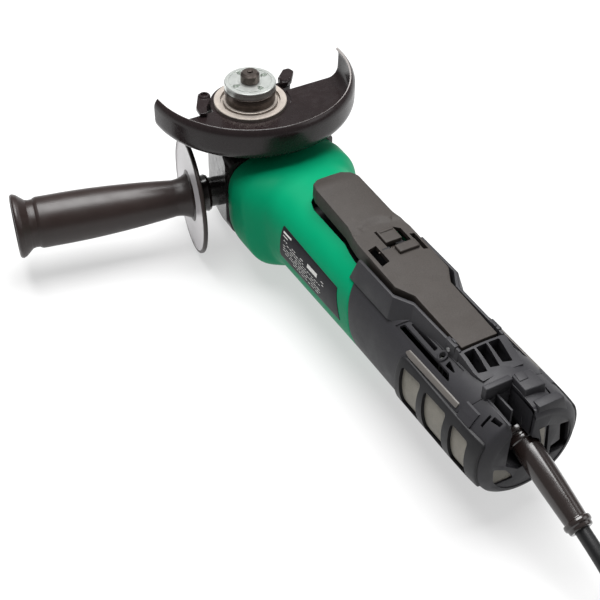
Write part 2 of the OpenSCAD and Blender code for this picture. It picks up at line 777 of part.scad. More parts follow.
module handle_stud() {
  color(steel) on_handle(-1) translate([0, 0, socket_t - 12]) cylinder(h = 46, r = 3.98);
}

// --- Mains cord
boot_root = [0, -330, -57];
cord_exit = [0, -396, -77];
coil_c = [52, -545];
turn_r = 53;
coil_layers = 4;
coil_top = floor_z + coil_layers * cord_d;

boot_len = norm(cord_exit - boot_root);
boot_droop = atan2(boot_root[2] - cord_exit[2], boot_root[1] - cord_exit[1]);

// Places children on the boot's axis, with +Z toward its free end
module along_boot() {
  translate(boot_root) rotate([90 + boot_droop, 0, 0]) children();
}

module cord_boot() {
  len = boot_len;
  color(brown_black) along_boot() {
    rotate_extrude() polygon([[0, 0], [10, 0], [10, 3], [8.2, 4], [8.2, 7], [8.6, 9], [7.3, len - 8], [7.3, len - 7.5],
      [7.8, len - 7], [7.8, len - 1], [7.2, len], [0, len]]);
  }
}

module cord_clamp() {
  color(charcoal) translate([-12, -318, -51]) difference() {
    cube([24, 8, 5]);
    for (x = [3, 21]) translate([x, 4, -1]) cylinder(h = 8, r = 1.5);
  }
}

module clamp_screws() {
  color(steel) for (x = [-9, 9]) translate([x, -314, 0]) {
    translate([0, 0, -56]) cylinder(h = 10.02, r = 1.48);
    translate([0, 0, -45.98]) cylinder(h = 2, r = 2.8);
  }
}

// Free stretch of the cord from the boot to the coil
ROUTE = [[0, -396, -77], [0, -406, -80], [0, -416, -83.4], [0, -427, -88], [0, -438, -94], [0, -449, -100.5],
  [0, -460, -106.3], [0, -471, -110.6], [0, -482, -113], [0, -493, -113.4], [-0.5, -504, -113.4], [-1, -514, -113.4]];

module mains_cord() {
  color([0.08, 0.08, 0.09]) sweep(ROUTE, cord_d / 2, 10);
}

module cord_coil() {
  color([0.08, 0.08, 0.09]) translate([coil_c[0], coil_c[1], 0])
    ring_z(turn_r - 1.5 * cord_d, turn_r + cord_d / 2, floor_z, coil_top);
}

plug_z = coil_top + 13.1;
plug_x = coil_c[0] + turn_r - cord_d;

// Plug for two pins, lying on the coil in line with its last turn
module plug_body() {
  color([0.08, 0.08, 0.09]) translate([plug_x, coil_c[1], plug_z]) rotate([-90, 0, 0]) hull() {
    translate([0, 0, 22]) linear_extrude(34) hull() {
      for (x = [-1, 1]) translate([5.5 * x, 0]) circle(r = 13, $fn = 32);
    }
    cylinder(h = 4, r = 6, $fn = 32);
  }
}

module plug_pins() {
  color(steel) for (x = [-9.5, 9.5]) translate([plug_x + x, coil_c[1] + 56.02, plug_z]) rotate([-90, 0, 0])
    rotate_extrude() polygon([[0, 0], [2.4, 0], [2.4, 18], [1.4, 19], [0, 19]]);
}

gear_case();
packing_gland();
gland_screws();
bearing_retainer();
spindle_bearing_front();
spindle_bearing_rear();
spindle_shaft();
drive_gear();
inner_flange();
lock_nut();
wheel_guard();
guard_collar();
guard_clamp_screw();
guard_lever();
lock_button();
lock_spring();
armature_bearing_front();
armature_bearing_rear();
rear_bearing_bush();
armature_shaft();
pinion_gear();
cooling_fan();
rotor_core();
stator_core();
stator_windings();
fan_guide();
motor_housing();
rear_housing();
tail_cover();
data_plate();
housing_screws();
controller_case();
controller_board();
motor_leads();
switch_body();
switch_plunger();
paddle();
paddle_pin();
paddle_spring();
lock_off_lever();
lock_off_pin();
lock_off_spring();
filter_left();
filter_right();
filter_clips();
handle_flange();
handle_collar();
handle_grip();
handle_stud();
cord_boot();
cord_clamp();
clamp_screws();
mains_cord();
cord_coil();
plug_body();
plug_pins();
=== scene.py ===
"""Corded angle grinder with a paddle switch: its looks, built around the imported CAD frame.

The row frame has +Z out of the spindle's threaded end, -Y along the body to the tail and -X to the
side handle. Sizes in this file are in millimetres until a mesh is made, where MM turns them to metres.
"""
import json
import math
import random

import bmesh
import bpy
from mathutils import Matrix, Vector


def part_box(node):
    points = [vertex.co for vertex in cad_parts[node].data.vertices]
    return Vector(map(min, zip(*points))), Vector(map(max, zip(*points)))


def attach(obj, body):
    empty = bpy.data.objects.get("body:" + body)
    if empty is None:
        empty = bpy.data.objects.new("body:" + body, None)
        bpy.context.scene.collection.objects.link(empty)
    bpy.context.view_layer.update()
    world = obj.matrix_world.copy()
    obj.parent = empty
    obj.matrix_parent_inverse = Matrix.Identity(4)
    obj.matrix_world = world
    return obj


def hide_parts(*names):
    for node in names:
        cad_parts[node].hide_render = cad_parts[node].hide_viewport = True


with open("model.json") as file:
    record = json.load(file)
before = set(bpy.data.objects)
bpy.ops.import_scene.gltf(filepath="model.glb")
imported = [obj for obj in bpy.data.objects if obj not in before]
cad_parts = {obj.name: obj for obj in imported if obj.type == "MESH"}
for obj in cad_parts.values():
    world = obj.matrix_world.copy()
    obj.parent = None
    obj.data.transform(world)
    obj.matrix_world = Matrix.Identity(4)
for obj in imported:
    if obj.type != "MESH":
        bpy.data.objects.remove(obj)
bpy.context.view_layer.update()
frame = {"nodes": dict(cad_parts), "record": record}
CAD = frame["nodes"]
MM = 0.001

# --- Driving places, read from the frame where a node gives them
FLOOR_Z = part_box("cord_coil")[0].z / MM
TAIL_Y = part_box("tail_cover")[0].y / MM
HEAD_HALF_W = 43.0
GUARD_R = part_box("wheel_guard")[1].x / MM
MOTOR_Z = -60.0
JOINT_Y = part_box("rear_housing")[1].y / MM
SEAM_Y = -311.0

# Stations of the body: y, half width, top z, bottom z, exponent of the superellipse
BODY = [
    (-48, HEAD_HALF_W + 2, -28, -100.5, 3.4),
    (-60, HEAD_HALF_W + 4, -27.5, -103, 3.3),
    (-76, HEAD_HALF_W + 4.3, -27.2, -103, 3.1),
    (-84, HEAD_HALF_W + 0.5, -26.8, -100.5, 2.9),
    (-93, 38.0, -26.3, -97, 2.6),
    (-104, 36.8, -26, -95.8, 2.5),
    (-150, 36.5, -25.5, -95.5, 2.4),
    (-206, 36.0, -25, -95.5, 2.3),
    (-250, 36.2, -25, -96.5, 2.2),
    (-311, 36.6, -24.5, -97, 2.1),
    (-325, 36.4, -24.5, -97, 2.1),
    (-341, 35.4, -25.5, -96, 2.1),
    (-346, 31.5, -29.5, -92, 2.1),
]
# Lean of the sections behind the head, mm along Y for each mm up: forward at the top, back at the bottom
SLANT = 0.26
# Levels that most cutters from above run between. CUT_TOP is above everything that they cut
CUT_LOW, CUT_TOP = -46, -10


# --- Numbers
def lerp(a, b, u):
    return a + (b - a) * u


def ease(u):
    u = min(1.0, max(0.0, u))
    return u * u * (3 - 2 * u)


def signed_power(v, e):
    return math.copysign(abs(v) ** e, v)


def slope(rows, i, k):
    """Slope of column k at row i that never overshoots the rows on either side."""
    if i in (0, len(rows) - 1):
        return 0.0
    before = (rows[i][k] - rows[i - 1][k]) / (rows[i][0] - rows[i - 1][0])
    after = (rows[i + 1][k] - rows[i][k]) / (rows[i + 1][0] - rows[i][0])
    if before * after <= 0:
        return 0.0
    return 2 * before * after / (before + after)


def column_at(rows, k, t):
    """Column k of a table at t, a smooth curve through its rows, which rise in column 0."""
    if t <= rows[0][0]:
        return rows[0][k]
    if t >= rows[-1][0]:
        return rows[-1][k]
    i = max(j for j in range(len(rows) - 1) if rows[j][0] <= t)
    span = rows[i + 1][0] - rows[i][0]
    u = (t - rows[i][0]) / span
    a, b = rows[i][k], rows[i + 1][k]
    ma, mb = slope(rows, i, k) * span, slope(rows, i + 1, k) * span
    start = (2 * u**3 - 3 * u**2 + 1) * a + (u**3 - 2 * u**2 + u) * ma
    return start + (3 * u**2 - 2 * u**3) * b + (u**3 - u**2) * mb


BODY_RISING = sorted(BODY)


def section(y):
    """Half width, top z, bottom z and exponent of the body at y."""
    return [column_at(BODY_RISING, k, y) for k in range(1, 5)]


def skin_point(y, turn, inset=0.0):
    """Point on the body's skin. turn goes from 0 to 1 around it, from +X over the top."""
    half, top, bottom, power = section(y)
    c, s = math.cos(2 * math.pi * turn), math.sin(2 * math.pi * turn)
    height = top - MOTOR_Z if s > 0 else MOTOR_Z - bottom
    z = MOTOR_Z + (height - inset) * signed_power(s, 2 / power)
    lean = SLANT * ease((-52 - y) / 20) * ease((y + 112) / 16)
    return Vector(((half - inset) * signed_power(c, 2 / power), y + lean * (z - MOTOR_Z), z))


def skin_x(y, z):
    """Half width of the skin at a height."""
    half, top, bottom, power = section(y)
    height = top - MOTOR_Z if z > MOTOR_Z else MOTOR_Z - bottom
    w = min(0.999, abs((z - MOTOR_Z) / height))
    return half * (1 - w**power) ** (1 / power)


def skin_z(x, y):
    """Height of the skin's top at a place."""
    half, top, bottom, power = section(y)
    w = min(0.999, abs(x / half))
    return MOTOR_Z + (top - MOTOR_Z) * (1 - w**power) ** (1 / power)


# --- Mesh helpers
def new_object(name, bm):
    """Turns a bmesh in millimetres into an object in metres."""
    bmesh.ops.recalc_face_normals(bm, faces=bm.faces)
    mesh = bpy.data.meshes.new(name)
    bm.to_mesh(mesh)
    bm.free()
    mesh.transform(Matrix.Scale(MM, 4))
    obj = bpy.data.objects.new(name, mesh)
    bpy.context.scene.collection.objects.link(obj)
    return obj


def mesh_from(name, points, faces):
    bm = bmesh.new()
    verts = [bm.verts.new(p) for p in points]
    for face in faces:
        bm.faces.new([verts[i] for i in face])
    return new_object(name, bm)


def apply_modifiers(obj):
    """Bakes an object's modifiers into its mesh."""
    depsgraph = bpy.context.evaluated_depsgraph_get()
    mesh = bpy.data.meshes.new_from_object(obj.evaluated_get(depsgraph))
    obj.modifiers.clear()
    old = obj.data
    obj.data = mesh
    bpy.data.meshes.remove(old)


def smooth(obj, angle=32.0):
    """Smooth shading that breaks at edges sharper than angle."""
    bm = bmesh.new()
    bm.from_mesh(obj.data)
    for face in bm.faces:
        face.smooth = True
    limit = math.radians(angle)
    for edge in bm.edges:
        edge.smooth = len(edge.link_faces) == 2 and edge.calc_face_angle(0.0) < limit
    bm.to_mesh(obj.data)
    bm.free()


def bevel(obj, width, segments=2, angle=35.0):
    modifier = obj.modifiers.new("bevel", "BEVEL")
    modifier.width = width * MM
    modifier.segments = segments
    modifier.limit_method = "ANGLE"
    modifier.angle_limit = math.radians(angle)
    modifier.miter_outer = "MITER_ARC"
    apply_modifiers(obj)
    return obj


def take_mesh(objects):
    """One bmesh in millimetres from the objects, which are removed."""
    bm = bmesh.new()
    for obj in objects:
        old = obj.data
        bm.from_mesh(old)
        bpy.data.objects.remove(obj)
        bpy.data.meshes.remove(old)
    bmesh.ops.scale(bm, vec=(1 / MM,) * 3, verts=bm.verts)
    return bm


def join(name, objects):
    """Puts several objects' meshes into one."""
    return new_object(name, take_mesh(objects))


def cut(obj, cutters):
    """Takes the cutters, which don't touch one another, out of obj."""
    tool = join("cutter", cutters)
    modifier = obj.modifiers.new("cut", "BOOLEAN")
    modifier.operation = "DIFFERENCE"
    modifier.solver = "EXACT"
    modifier.object = tool
    apply_modifiers(obj)
    take_mesh([tool]).free()
    return obj


def corner_arc(before, corner, after, radius, steps):
    """Points of an arc in place of a corner. It keeps to the near half of both sides."""
    p = Vector(corner)
    a, b = Vector(before) - p, Vector(after) - p
    reach = min(radius / math.tan(a.angle(b) / 2), a.length * 0.49, b.length * 0.49)
    start, end = p + a.normalized() * reach, p + b.normalized() * reach
    shares = [k / steps for k in range(steps + 1)]
    return [tuple(start * (1 - u) ** 2 + p * 2 * u * (1 - u) + end * u**2) for u in shares]


def rounded(points, radius, steps=4):
    """An outline with its corners turned to arcs. radius is one number, or one for each corner."""
    result = []
    for i, p in enumerate(points):
        r = radius[i] if hasattr(radius, "__len__") else radius
        after = points[(i + 1) % len(points)]
        result += corner_arc(points[i - 1], p, after, r, steps) if r > 0 else [tuple(Vector(p))]
    return result


def between(name, low_ring, high_ring):
    """Solid between two rings with as many points."""
    n = len(low_ring)
    faces = [list(range(n))[::-1], list(range(n, 2 * n))]
    faces += [[i, (i + 1) % n, n + (i + 1) % n, n + i] for i in range(n)]
    return mesh_from(name, low_ring + high_ring, faces)


def prism(name, outline, low, high, to_point=None):
    """Solid between two levels over an outline. to_point(u, v, h) gives each corner's place."""
    place = to_point or (lambda u, v, h: (u, v, h))
    return between(name, *([place(u, v, h) for u, v in outline] for h in (low, high)))


def along_x(u, v, h):
    """Outline in y and z, height along x."""
    return (h, u, v)


def along_y(u, v, h):
    """Outline in x and z, height along y."""
    return (u, h, v)


def box(name, x, y, z, edge=0.6, segments=2):
    """Box with rounded edges between pairs of limits."""
    outline = [(x[0], y[0]), (x[1], y[0]), (x[1], y[1]), (x[0], y[1])]
    obj = prism(name, outline, z[0], z[1])
    return bevel(obj, edge, segments) if edge else obj


def warp(obj, step, move, axes=(0, 1)):
    """Slices a mesh every step mm across the axes, and then moves each point p to move(p), in mm."""
    name = obj.name
    bm = take_mesh([obj])
    bmesh.ops.triangulate(bm, faces=bm.faces)
    for axis in axes:
        values = [v.co[axis] for v in bm.verts]
        low, high = min(values), max(values)
        normal = Vector([1.0 if k == axis else 0.0 for k in range(3)])
        for k in range(1, int((high - low) / step) + 1):
            everything = bm.verts[:] + bm.edges[:] + bm.faces[:]
            place = normal * (low + k * step)
            bmesh.ops.bisect_plane(bm, geom=everything, plane_co=place, plane_no=normal)
    for v in bm.verts:
        v.co = move(v.co.copy())
    return new_object(name, bm)


def lathe(name, profile, to_point, steps=96):
    """Surface of revolution of a profile of (radius, height). to_point(x, y, h) places each corner."""
    points, faces, rings = [], [], []
    for radius, height in profile:
        if radius < 1e-6:
            rings.append([len(points)])
            points.append(to_point(0, 0, height))
            continue
        rings.append(list(range(len(points), len(points) + steps)))
        for k in range(steps):
            a = 2 * math.pi * k / steps
            points.append(to_point(radius * math.cos(a), radius * math.sin(a), height))
    for low, high in zip(rings, rings[1:]):
        for k in range(steps):
            n = (k + 1) % steps
            face = [low[k % len(low)], low[n % len(low)], high[n % len(high)], high[k % len(high)]]
            face = [p for i, p in enumerate(face) if p not in face[:i]]
            if len(face) > 2:
                faces.append(face)
    if len(rings[0]) > 1 and profile[0] != profile[-1]:
        faces.append(rings[0][::-1])
        faces.append(rings[-1])
    return mesh_from(name, points, faces)


def soften(profile, radius, steps=3):
    """Turns the inner corners of an open profile to arcs."""
    result = [profile[0]]
    for before, p, after in zip(profile, profile[1:], profile[2:]):
        a, b = Vector(before) - Vector(p), Vector(after) - Vector(p)
        sharp = min(a.length, b.length) >= 1e-6 and a.angle(b) <= 3.1
        result += corner_arc(before, p, after, radius, steps) if sharp else [tuple(Vector(p))]
    return result + [profile[-1]]


# --- Camera, at the photograph's viewing angle
def add_camera(target, azimuth, elevation, roll, distance, lens):
    """Camera that looks at target from azimuth degrees left of -Y, turned by roll about its own axis."""
    az, el = math.radians(azimuth), math.radians(elevation)
    back = Vector((-math.sin(az) * math.cos(el), -math.cos(az) * math.cos(el), math.sin(el)))
    level = Vector((math.cos(az), -math.sin(az), 0))
    turn = Matrix.Rotation(math.radians(roll), 3, back)
    right = turn @ level
    up = back.cross(right)
    data = bpy.data.cameras.new("camera")
    data.lens = lens
    data.sensor_width = 36.0
    data.clip_start = 0.01
    camera = bpy.data.objects.new("camera", data)
    bpy.context.scene.collection.objects.link(camera)
    place = (Vector(target) + back * distance) * MM
    camera.matrix_world = Matrix.Translation(place) @ Matrix((right, up, back)).transposed().to_4x4()
    bpy.context.scene.camera = camera


add_camera(
    target=(-20.6, -113.2, -118.2), azimuth=30.72, elevation=42.38, roll=1.28, distance=877.3, lens=72.0
)


# --- Materials
def tint(colour, gain):
    return tuple(min(1.0, c * gain) for c in colour)


class Look:
    """A new material and its node graph. A socket takes a number, a colour or another socket."""

    def __init__(self, name):
        self.material = bpy.data.materials.new(name)
        self.material.use_nodes = True
        self.graph = self.material.node_tree
        self.shader = self.graph.nodes["Principled BSDF"]
        self.where = self.add("TexCoord").outputs["Object"]

    def feed(self, socket, value):
        if hasattr(value, "is_linked"):
            self.graph.links.new(value, socket)
        else:
            socket.default_value = value

    def add(self, kind, values=None, **settings):
        node = self.graph.nodes.new("ShaderNode" + kind)
        for key, value in settings.items():
            setattr(node, key, value)
        for key, value in (values or {}).items():
            self.feed(node.inputs[key], value)
        return node

    def shade(self, **values):
        """Feeds the shader's sockets, whose names are written here with _ for a space."""
        for key, value in values.items():
            self.feed(self.shader.inputs[key.replace("_", " ")], value)

    def noise(self, scale, detail=3.0, rough=0.55, where=None):
        values = {"Scale": scale, "Detail": detail, "Roughness": rough, "Vector": where or self.where}
        return self.add("TexNoise", values).outputs["Fac"]

    def remap(self, value, low, high, to_low=0, to_high=1):
        values = {"From Min": low, "From Max": high, "To Min": to_low, "To Max": to_high, "Value": value}
        return self.add("MapRange", values).outputs["Result"]

    def mix(self, factor, a, b):
        """Colour between two colours, each a tuple or a socket. Sockets 6 and 7 are the colours A and B."""
        a, b = ((*c, 1) if isinstance(c, tuple) else c for c in (a, b))
        return self.add("Mix", {"Factor": factor, 6: a, 7: b}, data_type="RGBA").outputs[2]

    def bump(self, height, strength, depth):
        values = {"Strength": strength, "Distance": depth * MM, "Height": height}
        return self.add("Bump", values).outputs["Normal"]


def moulded(name, colour, rough, grain=0.25, grain_mm=0.5, mottle=0.08, specular=0.5, coat=0.0, speck=0.0):
    """Moulded plastic or rubber: spark-eroded grain, faint flow marks and a little handling wear."""
    look = Look(name)
    broad = look.noise(22, 4)
    fine = look.noise(1 / (grain_mm * MM), 2, 0.7)
    varied = look.mix(look.remap(broad, 0.35, 0.65), tint(colour, 1 - mottle), tint(colour, 1 + mottle))
    if speck:
        varied = look.mix(look.remap(fine, 0.42, 0.68), varied, tint(colour, 1 + speck))
    wear = look.noise(90, 5, 0.65)
    look.shade(
        Base_Color=varied, Roughness=look.remap(wear, 0.3, 0.7, rough - 0.06, rough + 0.07),
        Specular_IOR_Level=specular, Coat_Weight=coat, Coat_Roughness=0.2,
        Normal=look.bump(fine, grain, 0.06),
    )
    return look.material


def painted(name, colour, rough, orange_peel=0.25, specular=0.5):
    """Powder coat or enamel over metal: orange peel, and small scuffs that are glossier or duller."""
    look = Look(name)
    broad = look.noise(30, 5)
    peel = look.noise(620, 2)
    scuffs = look.noise(160, 8, 0.7)
    look.shade(
        Base_Color=look.mix(look.remap(broad, 0.35, 0.7), tint(colour, 0.86), tint(colour, 1.2)),
        Roughness=look.remap(scuffs, 0.35, 0.7, rough - 0.07, rough + 0.1),
        Specular_IOR_Level=specular, Normal=look.bump(peel, orange_peel, 0.05),
    )
    return look.material


def metal(name, colour, rough, lines="ring", strength=0.2, stain=0.12):
    """Machined metal: turning marks about the spindle ("ring") or fine grain ("grain"), and light stains."""
    look = Look(name)
    blotch = look.remap(look.noise(120, 6, 0.65), 0.35, 0.7)
    if lines == "ring":
        split = look.add("SeparateXYZ", {"Vector": look.where}).outputs
        flat = look.add("CombineXYZ", {"X": split["X"], "Y": split["Y"]}).outputs["Vector"]
        away = look.add("VectorMath", {0: flat}, operation="LENGTH").outputs["Value"]
        pair = look.add("CombineXYZ", {"X": away, "Y": split["Z"]}).outputs["Vector"]
        marks = look.noise(2600, 2, where=pair)
    else:
        marks = look.noise(1500, 4, 0.7)
    look.shade(
        Metallic=1.0, Base_Color=look.mix(blotch, tint(colour, 1 - stain), tint(colour, 1 + stain / 2)),
        Roughness=look.remap(marks, 0.3, 0.7, rough - 0.08, rough + 0.1),
        Normal=look.bump(marks, strength, 0.02),
    )
    return look.material


def woven(name, colour, pitch):
    """Fine woven filter mesh: two crossed sets of wires over a dark ground."""
    look = Look(name)
    scale = math.pi / (10 * pitch * MM)
    values = {"Scale": scale, "Distortion": 0.4, "Detail Scale": 3, "Vector": look.where}
    waves = [look.add("TexWave", values, wave_type="BANDS", bands_direction=way) for way in ("Y", "Z")]
    heights = {i: wave.outputs["Fac"] for i, wave in enumerate(waves)}
    top = look.add("Math", heights, operation="MAXIMUM").outputs[0]
    dust = look.remap(look.noise(70, 5), 0.35, 0.7)
    wires = look.mix(dust, tint(colour, 0.85), tint(colour, 1.15))
    look.shade(
        Base_Color=look.mix(look.remap(top, 0.35, 0.75), tint(colour, 0.35), wires), Roughness=0.62,
        Metallic=0.25, Normal=look.bump(top, 0.5, 0.12),
    )
    return look.material


# After the name: colour and roughness, then for moulded: grain, grain size, mottle, specular, coat, speck;
# for painted: orange peel, specular; for metal: marks, their strength, stain. For woven: colour and pitch
LOOKS = [
    (moulded, "green_plastic", (0.0, 0.215, 0.098), 0.45, 0.12, 0.6, 0.04, 0.07),
    (moulded, "charcoal_plastic", (0.019, 0.0185, 0.021), 0.52, 0.35, 0.45, 0.1, 0.28, 0.0, 0.35),
    (moulded, "paddle_plastic", (0.027, 0.0228, 0.0202), 0.56, 0.6, 0.55, 0.12, 0.24, 0.0, 0.5),
    (moulded, "handle_plastic", (0.017, 0.0098, 0.0085), 0.36, 0.2, 0.7, 0.1, 0.4),
    (moulded, "rubber_black", (0.014, 0.009, 0.008), 0.2, 0.08, 0.9, 0.1, 0.5, 0.4),
    (painted, "painted_case", (0.018, 0.015, 0.015), 0.22, 0.2),
    (painted, "guard_steel", (0.012, 0.0078, 0.0082), 0.26, 0.2, 0.3),
    (metal, "cast_aluminium", (0.4, 0.36, 0.325), 0.58, "ring", 0.2),
    (metal, "plated_steel", (0.74, 0.77, 0.74), 0.34, "ring", 0.25),
    (metal, "bright_steel", (0.62, 0.62, 0.62), 0.28, "grain", 0.1),
    (metal, "dark_steel", (0.13, 0.11, 0.1), 0.36, "ring", 0.3, 0.3),
    (metal, "laminations", (0.34, 0.34, 0.35), 0.5, "grain", 0.4),
    (metal, "copper", (0.62, 0.28, 0.12), 0.35, "grain", 0.5),
    (metal, "spring_steel", (0.5, 0.5, 0.5), 0.35, "grain", 0.1),
    (moulded, "plate_dark", (0.008, 0.008, 0.011), 0.4, 0.05, 0.8, 0.05, 0.12),
    (woven, "filter_mesh", (0.25, 0.235, 0.2), 0.55),
    (moulded, "board_green", (0.02, 0.14, 0.07), 0.45, 0.1, 0.8, 0.1),
    (moulded, "switch_black", (0.009, 0.009, 0.01), 0.5, 0.2, 0.5, 0.1, 0.25),
    (moulded, "plunger_cream", (0.6, 0.56, 0.46), 0.4, 0.1, 0.6, 0.05),
    (moulded, "lead_red", (0.35, 0.03, 0.02), 0.4, 0.1, 0.8, 0.05),
    (moulded, "cord_rubber", (0.006, 0.006, 0.0065), 0.36, 0.15, 0.7, 0.1, 0.35),
    (metal, "pin_brass", (0.8, 0.78, 0.72), 0.22, "grain", 0.1),
]
MATERIAL = {name: make(name, *values) for make, name, *values in LOOKS}
PRINT_WHITE = moulded("print_white", (0.62, 0.62, 0.6), 0.45, 0.05, 0.8, 0.05)
WELD_PALE = moulded("ridge_pale", (0.085, 0.077, 0.07), 0.5, 0.3, 0.5, 0.06)
# Painted reflection: a pale grey for the handle disc's face, standing in for the bright surroundings that
# the dark disc reflects
DISC_PAINTED_REFLECTION = moulded("disc_painted_reflection", (0.58, 0.56, 0.575), 0.34, 0.08, 0.8, 0.06, coat=0.3)
LIP_BRIGHT = painted("lip_bright", (0.3, 0.28, 0.27), 0.3, 0.1)


def paint(obj, material):
    obj.data.materials.clear()
    obj.data.materials.append(material)


def finish(obj, body, slot, replaces=(), material=None, angle=32.0):
    """Shades, paints and mounts a piece."""
    if obj.type == "MESH":
        smooth(obj, angle)
    paint(obj, material or MATERIAL[slot])
    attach(obj, body)
    if replaces:
        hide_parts(*replaces)
    return obj


for subpart in frame["record"]["subparts"]:
    paint(CAD[subpart["node"]], MATERIAL[subpart["material_slot"]])
for node in ("lock_off_pin", "lock_off_spring"):
    paint(CAD[node], MATERIAL["dark_steel"])

# --- Mains cord: the route's points from the boot, and then a round coil under its plug
CORD_D = 9.2
CORD_EXIT = (0, -396, -77)
ROUTE = [
    CORD_EXIT, (0, -406, -80), (0, -416, -83.4), (0, -427, -88), (0, -438, -94), (0, -449, -100.5),
    (0, -460, -106.3), (0, -471, -110.6), (0, -482, -113), (0, -493, -113.4), (-0.5, -504, -113.4),
    (-1, -514, -113.4), (-1, -524, -113.4), (-1, -535, -113.4),
]
COIL_C = (52, -545)
COIL_OUT = 53.0
COIL_IN = COIL_OUT - CORD_D
COIL_TURNS = [("out", 0), ("in", 0), ("in", 1), ("out", 1), ("out", 2), ("in", 2), ("in", 3), ("in", 4)]
PLUG_Z = FLOOR_Z + 4 * CORD_D + 13.1
STEPS_PER_TURN = 48
SHIFT_SHARE = 0.14


def coil_level(kind):
    column, layer = kind
    return (COIL_OUT if column == "out" else COIL_IN), FLOOR_Z + (layer + 0.5) * CORD_D


def coil_points():
    """Centre line of the turns. Each turn moves to the next one's place in its last part."""
    points = []
    for i, kind in enumerate(COIL_TURNS):
        radius, z = coil_level(kind)
        last = i == len(COIL_TURNS) - 1
        next_radius, next_z = (radius, PLUG_Z) if last else coil_level(COIL_TURNS[i + 1])
        steps = STEPS_PER_TURN // 2 if last else STEPS_PER_TURN
        for k in range(steps + (1 if last else 0)):
            u = k / steps
            share = ease(u) if last else ease((u - 1 + SHIFT_SHARE) / SHIFT_SHARE)
            r, h = lerp(radius, next_radius, share), lerp(z, next_z, share)
            a = math.pi + 2 * math.pi * k / STEPS_PER_TURN
            points.append((COIL_C[0] + r * math.cos(a), COIL_C[1] + r * math.sin(a), h))
    return points


def fair(points, rounds):
    """Evens out a line's bends and keeps its ends."""
    for _ in range(rounds):
        threes = zip(points, points[1:], points[2:])
        inner = [tuple((a + 2 * b + c) / 4 for a, b, c in zip(*three)) for three in threes]
        points = [points[0]] + inner + [points[-1]]
    return points


def path_length(points):
    return sum((Vector(b) - Vector(a)).length for a, b in zip(points, points[1:]))


def cord_curve(name, points, diameter):
    data = bpy.data.curves.new(name, "CURVE")
    data.dimensions = "3D"
    data.bevel_depth = diameter * MM / 2
    data.bevel_resolution = 6
    data.use_fill_caps = True
    spline = data.splines.new("POLY")
    spline.points.add(len(points) - 1)
    for point, p in zip(spline.points, points):
        point.co = (*(Vector(p) * MM), 1)
    spline.use_smooth = True
    obj = bpy.data.objects.new(name, data)
    bpy.context.scene.collection.objects.link(obj)
    return obj


cord_line = fair(ROUTE + coil_points(), 2)
cord = cord_curve("mains_lead", cord_line, CORD_D)
finish(cord, "root", "cord_rubber", ["mains_cord", "cord_coil"])

PLUG_START = (COIL_C[0] + COIL_IN, COIL_C[1])


def on_plug(x, z, h):
    return (PLUG_START[0] + x, PLUG_START[1] + h, PLUG_Z + z)


def sections_solid(name, rows, to_point, steps=64):
    """Solid through superellipse sections: height, half width, half depth, exponent."""
    points, faces = [], []
    for h, half_x, half_z, power in rows:
        for k in range(steps):
            a = 2 * math.pi * k / steps
            x = half_x * signed_power(math.cos(a), 2 / power)
            z = half_z * signed_power(math.sin(a), 2 / power)
            points.append(to_point(x, z, h))
    for row in range(len(rows) - 1):
        for k in range(steps):
            a, b = row * steps + k, row * steps + (k + 1) % steps
            faces.append([a, b, b + steps, a + steps])
    faces.append(list(range(steps))[::-1])
    faces.append([(len(rows) - 1) * steps + k for k in range(steps)])
    return mesh_from(name, points, faces)


def plug_rows():
    """Sections of the plug's body, with a ribbed sleeve, a waist and three grip ridges."""
    rows = [(0, 5.4, 5.4, 2.0), (0.6, 6.0, 6.0, 2.0)]
    for k in range(4):
        h = 2 + 3.4 * k
        rows += [(h, 6.0 + 0.35 * k, 6.0 + 0.3 * k, 2.0), (h + 0.5, 5.3 + 0.35 * k, 5.3 + 0.3 * k, 2.0)]
        rows += [(h + 1.5, 5.3 + 0.4 * k, 5.3 + 0.3 * k, 2.0), (h + 2.0, 6.1 + 0.4 * k, 6.1 + 0.3 * k, 2.0)]
    rows += [(17, 9.5, 8.2, 2.2), (21, 14.5, 10.6, 2.4), (25, 17.2, 12.2, 2.5)]
    for k in range(3):
        h = 28 + 3.2 * k
        rows += [(h, 17.8, 12.6, 2.6), (h + 0.5, 17.0, 11.9, 2.6)]
        rows += [(h + 1.4, 17.0, 11.9, 2.6), (h + 1.9, 17.9, 12.7, 2.6)]
    rows += [(42, 18.3, 12.9, 2.7), (53.6, 18.5, 13.0, 2.8), (55.2, 18.0, 12.5, 2.8), (56, 16.8, 11.4, 2.8)]
    return rows


plug = finish(sections_solid("plug_moulding", plug_rows(), on_plug), "root", "cord_rubber", ["plug_body"])


def tie_loop():
    """Flat strap round the coil's bundle, square with rounded corners, at its far side."""
    mid = (COIL_OUT + COIL_IN) / 2
    half_w, half_h, half_len, thick = CORD_D + 0.3, 2 * CORD_D - 0.15, 6.0, 0.9
    outer = rounded([(-half_w, -half_h), (half_w, -half_h), (half_w, half_h), (-half_w, half_h)], 3.5, 5)
    shrink_w, shrink_h = 1 - thick / half_w, 1 - thick / half_h
    n = len(outer)
    points, faces = [], []
    for h in (-half_len, half_len):
        for scale in ((1, 1), (shrink_w, shrink_h)):
            for u, v in outer:
                y, z = COIL_C[1] - mid + u * scale[0], FLOOR_Z + 2 * CORD_D + v * scale[1]
                points.append((COIL_C[0] + h, y, z))
    for i in range(n):
        k = (i + 1) % n
        faces += [[i, k, n + k, n + i], [2 * n + i, 3 * n + i, 3 * n + k, 2 * n + k]]
        faces += [[i, 2 * n + i, 2 * n + k, k], [n + i, n + k, 3 * n + k, 3 * n + i]]
    return bevel(mesh_from("cord_tie", points, faces), 0.25, 2)


tie = finish(tie_loop(), "root", "rubber_black")
cord_length = path_length(cord_line) * MM


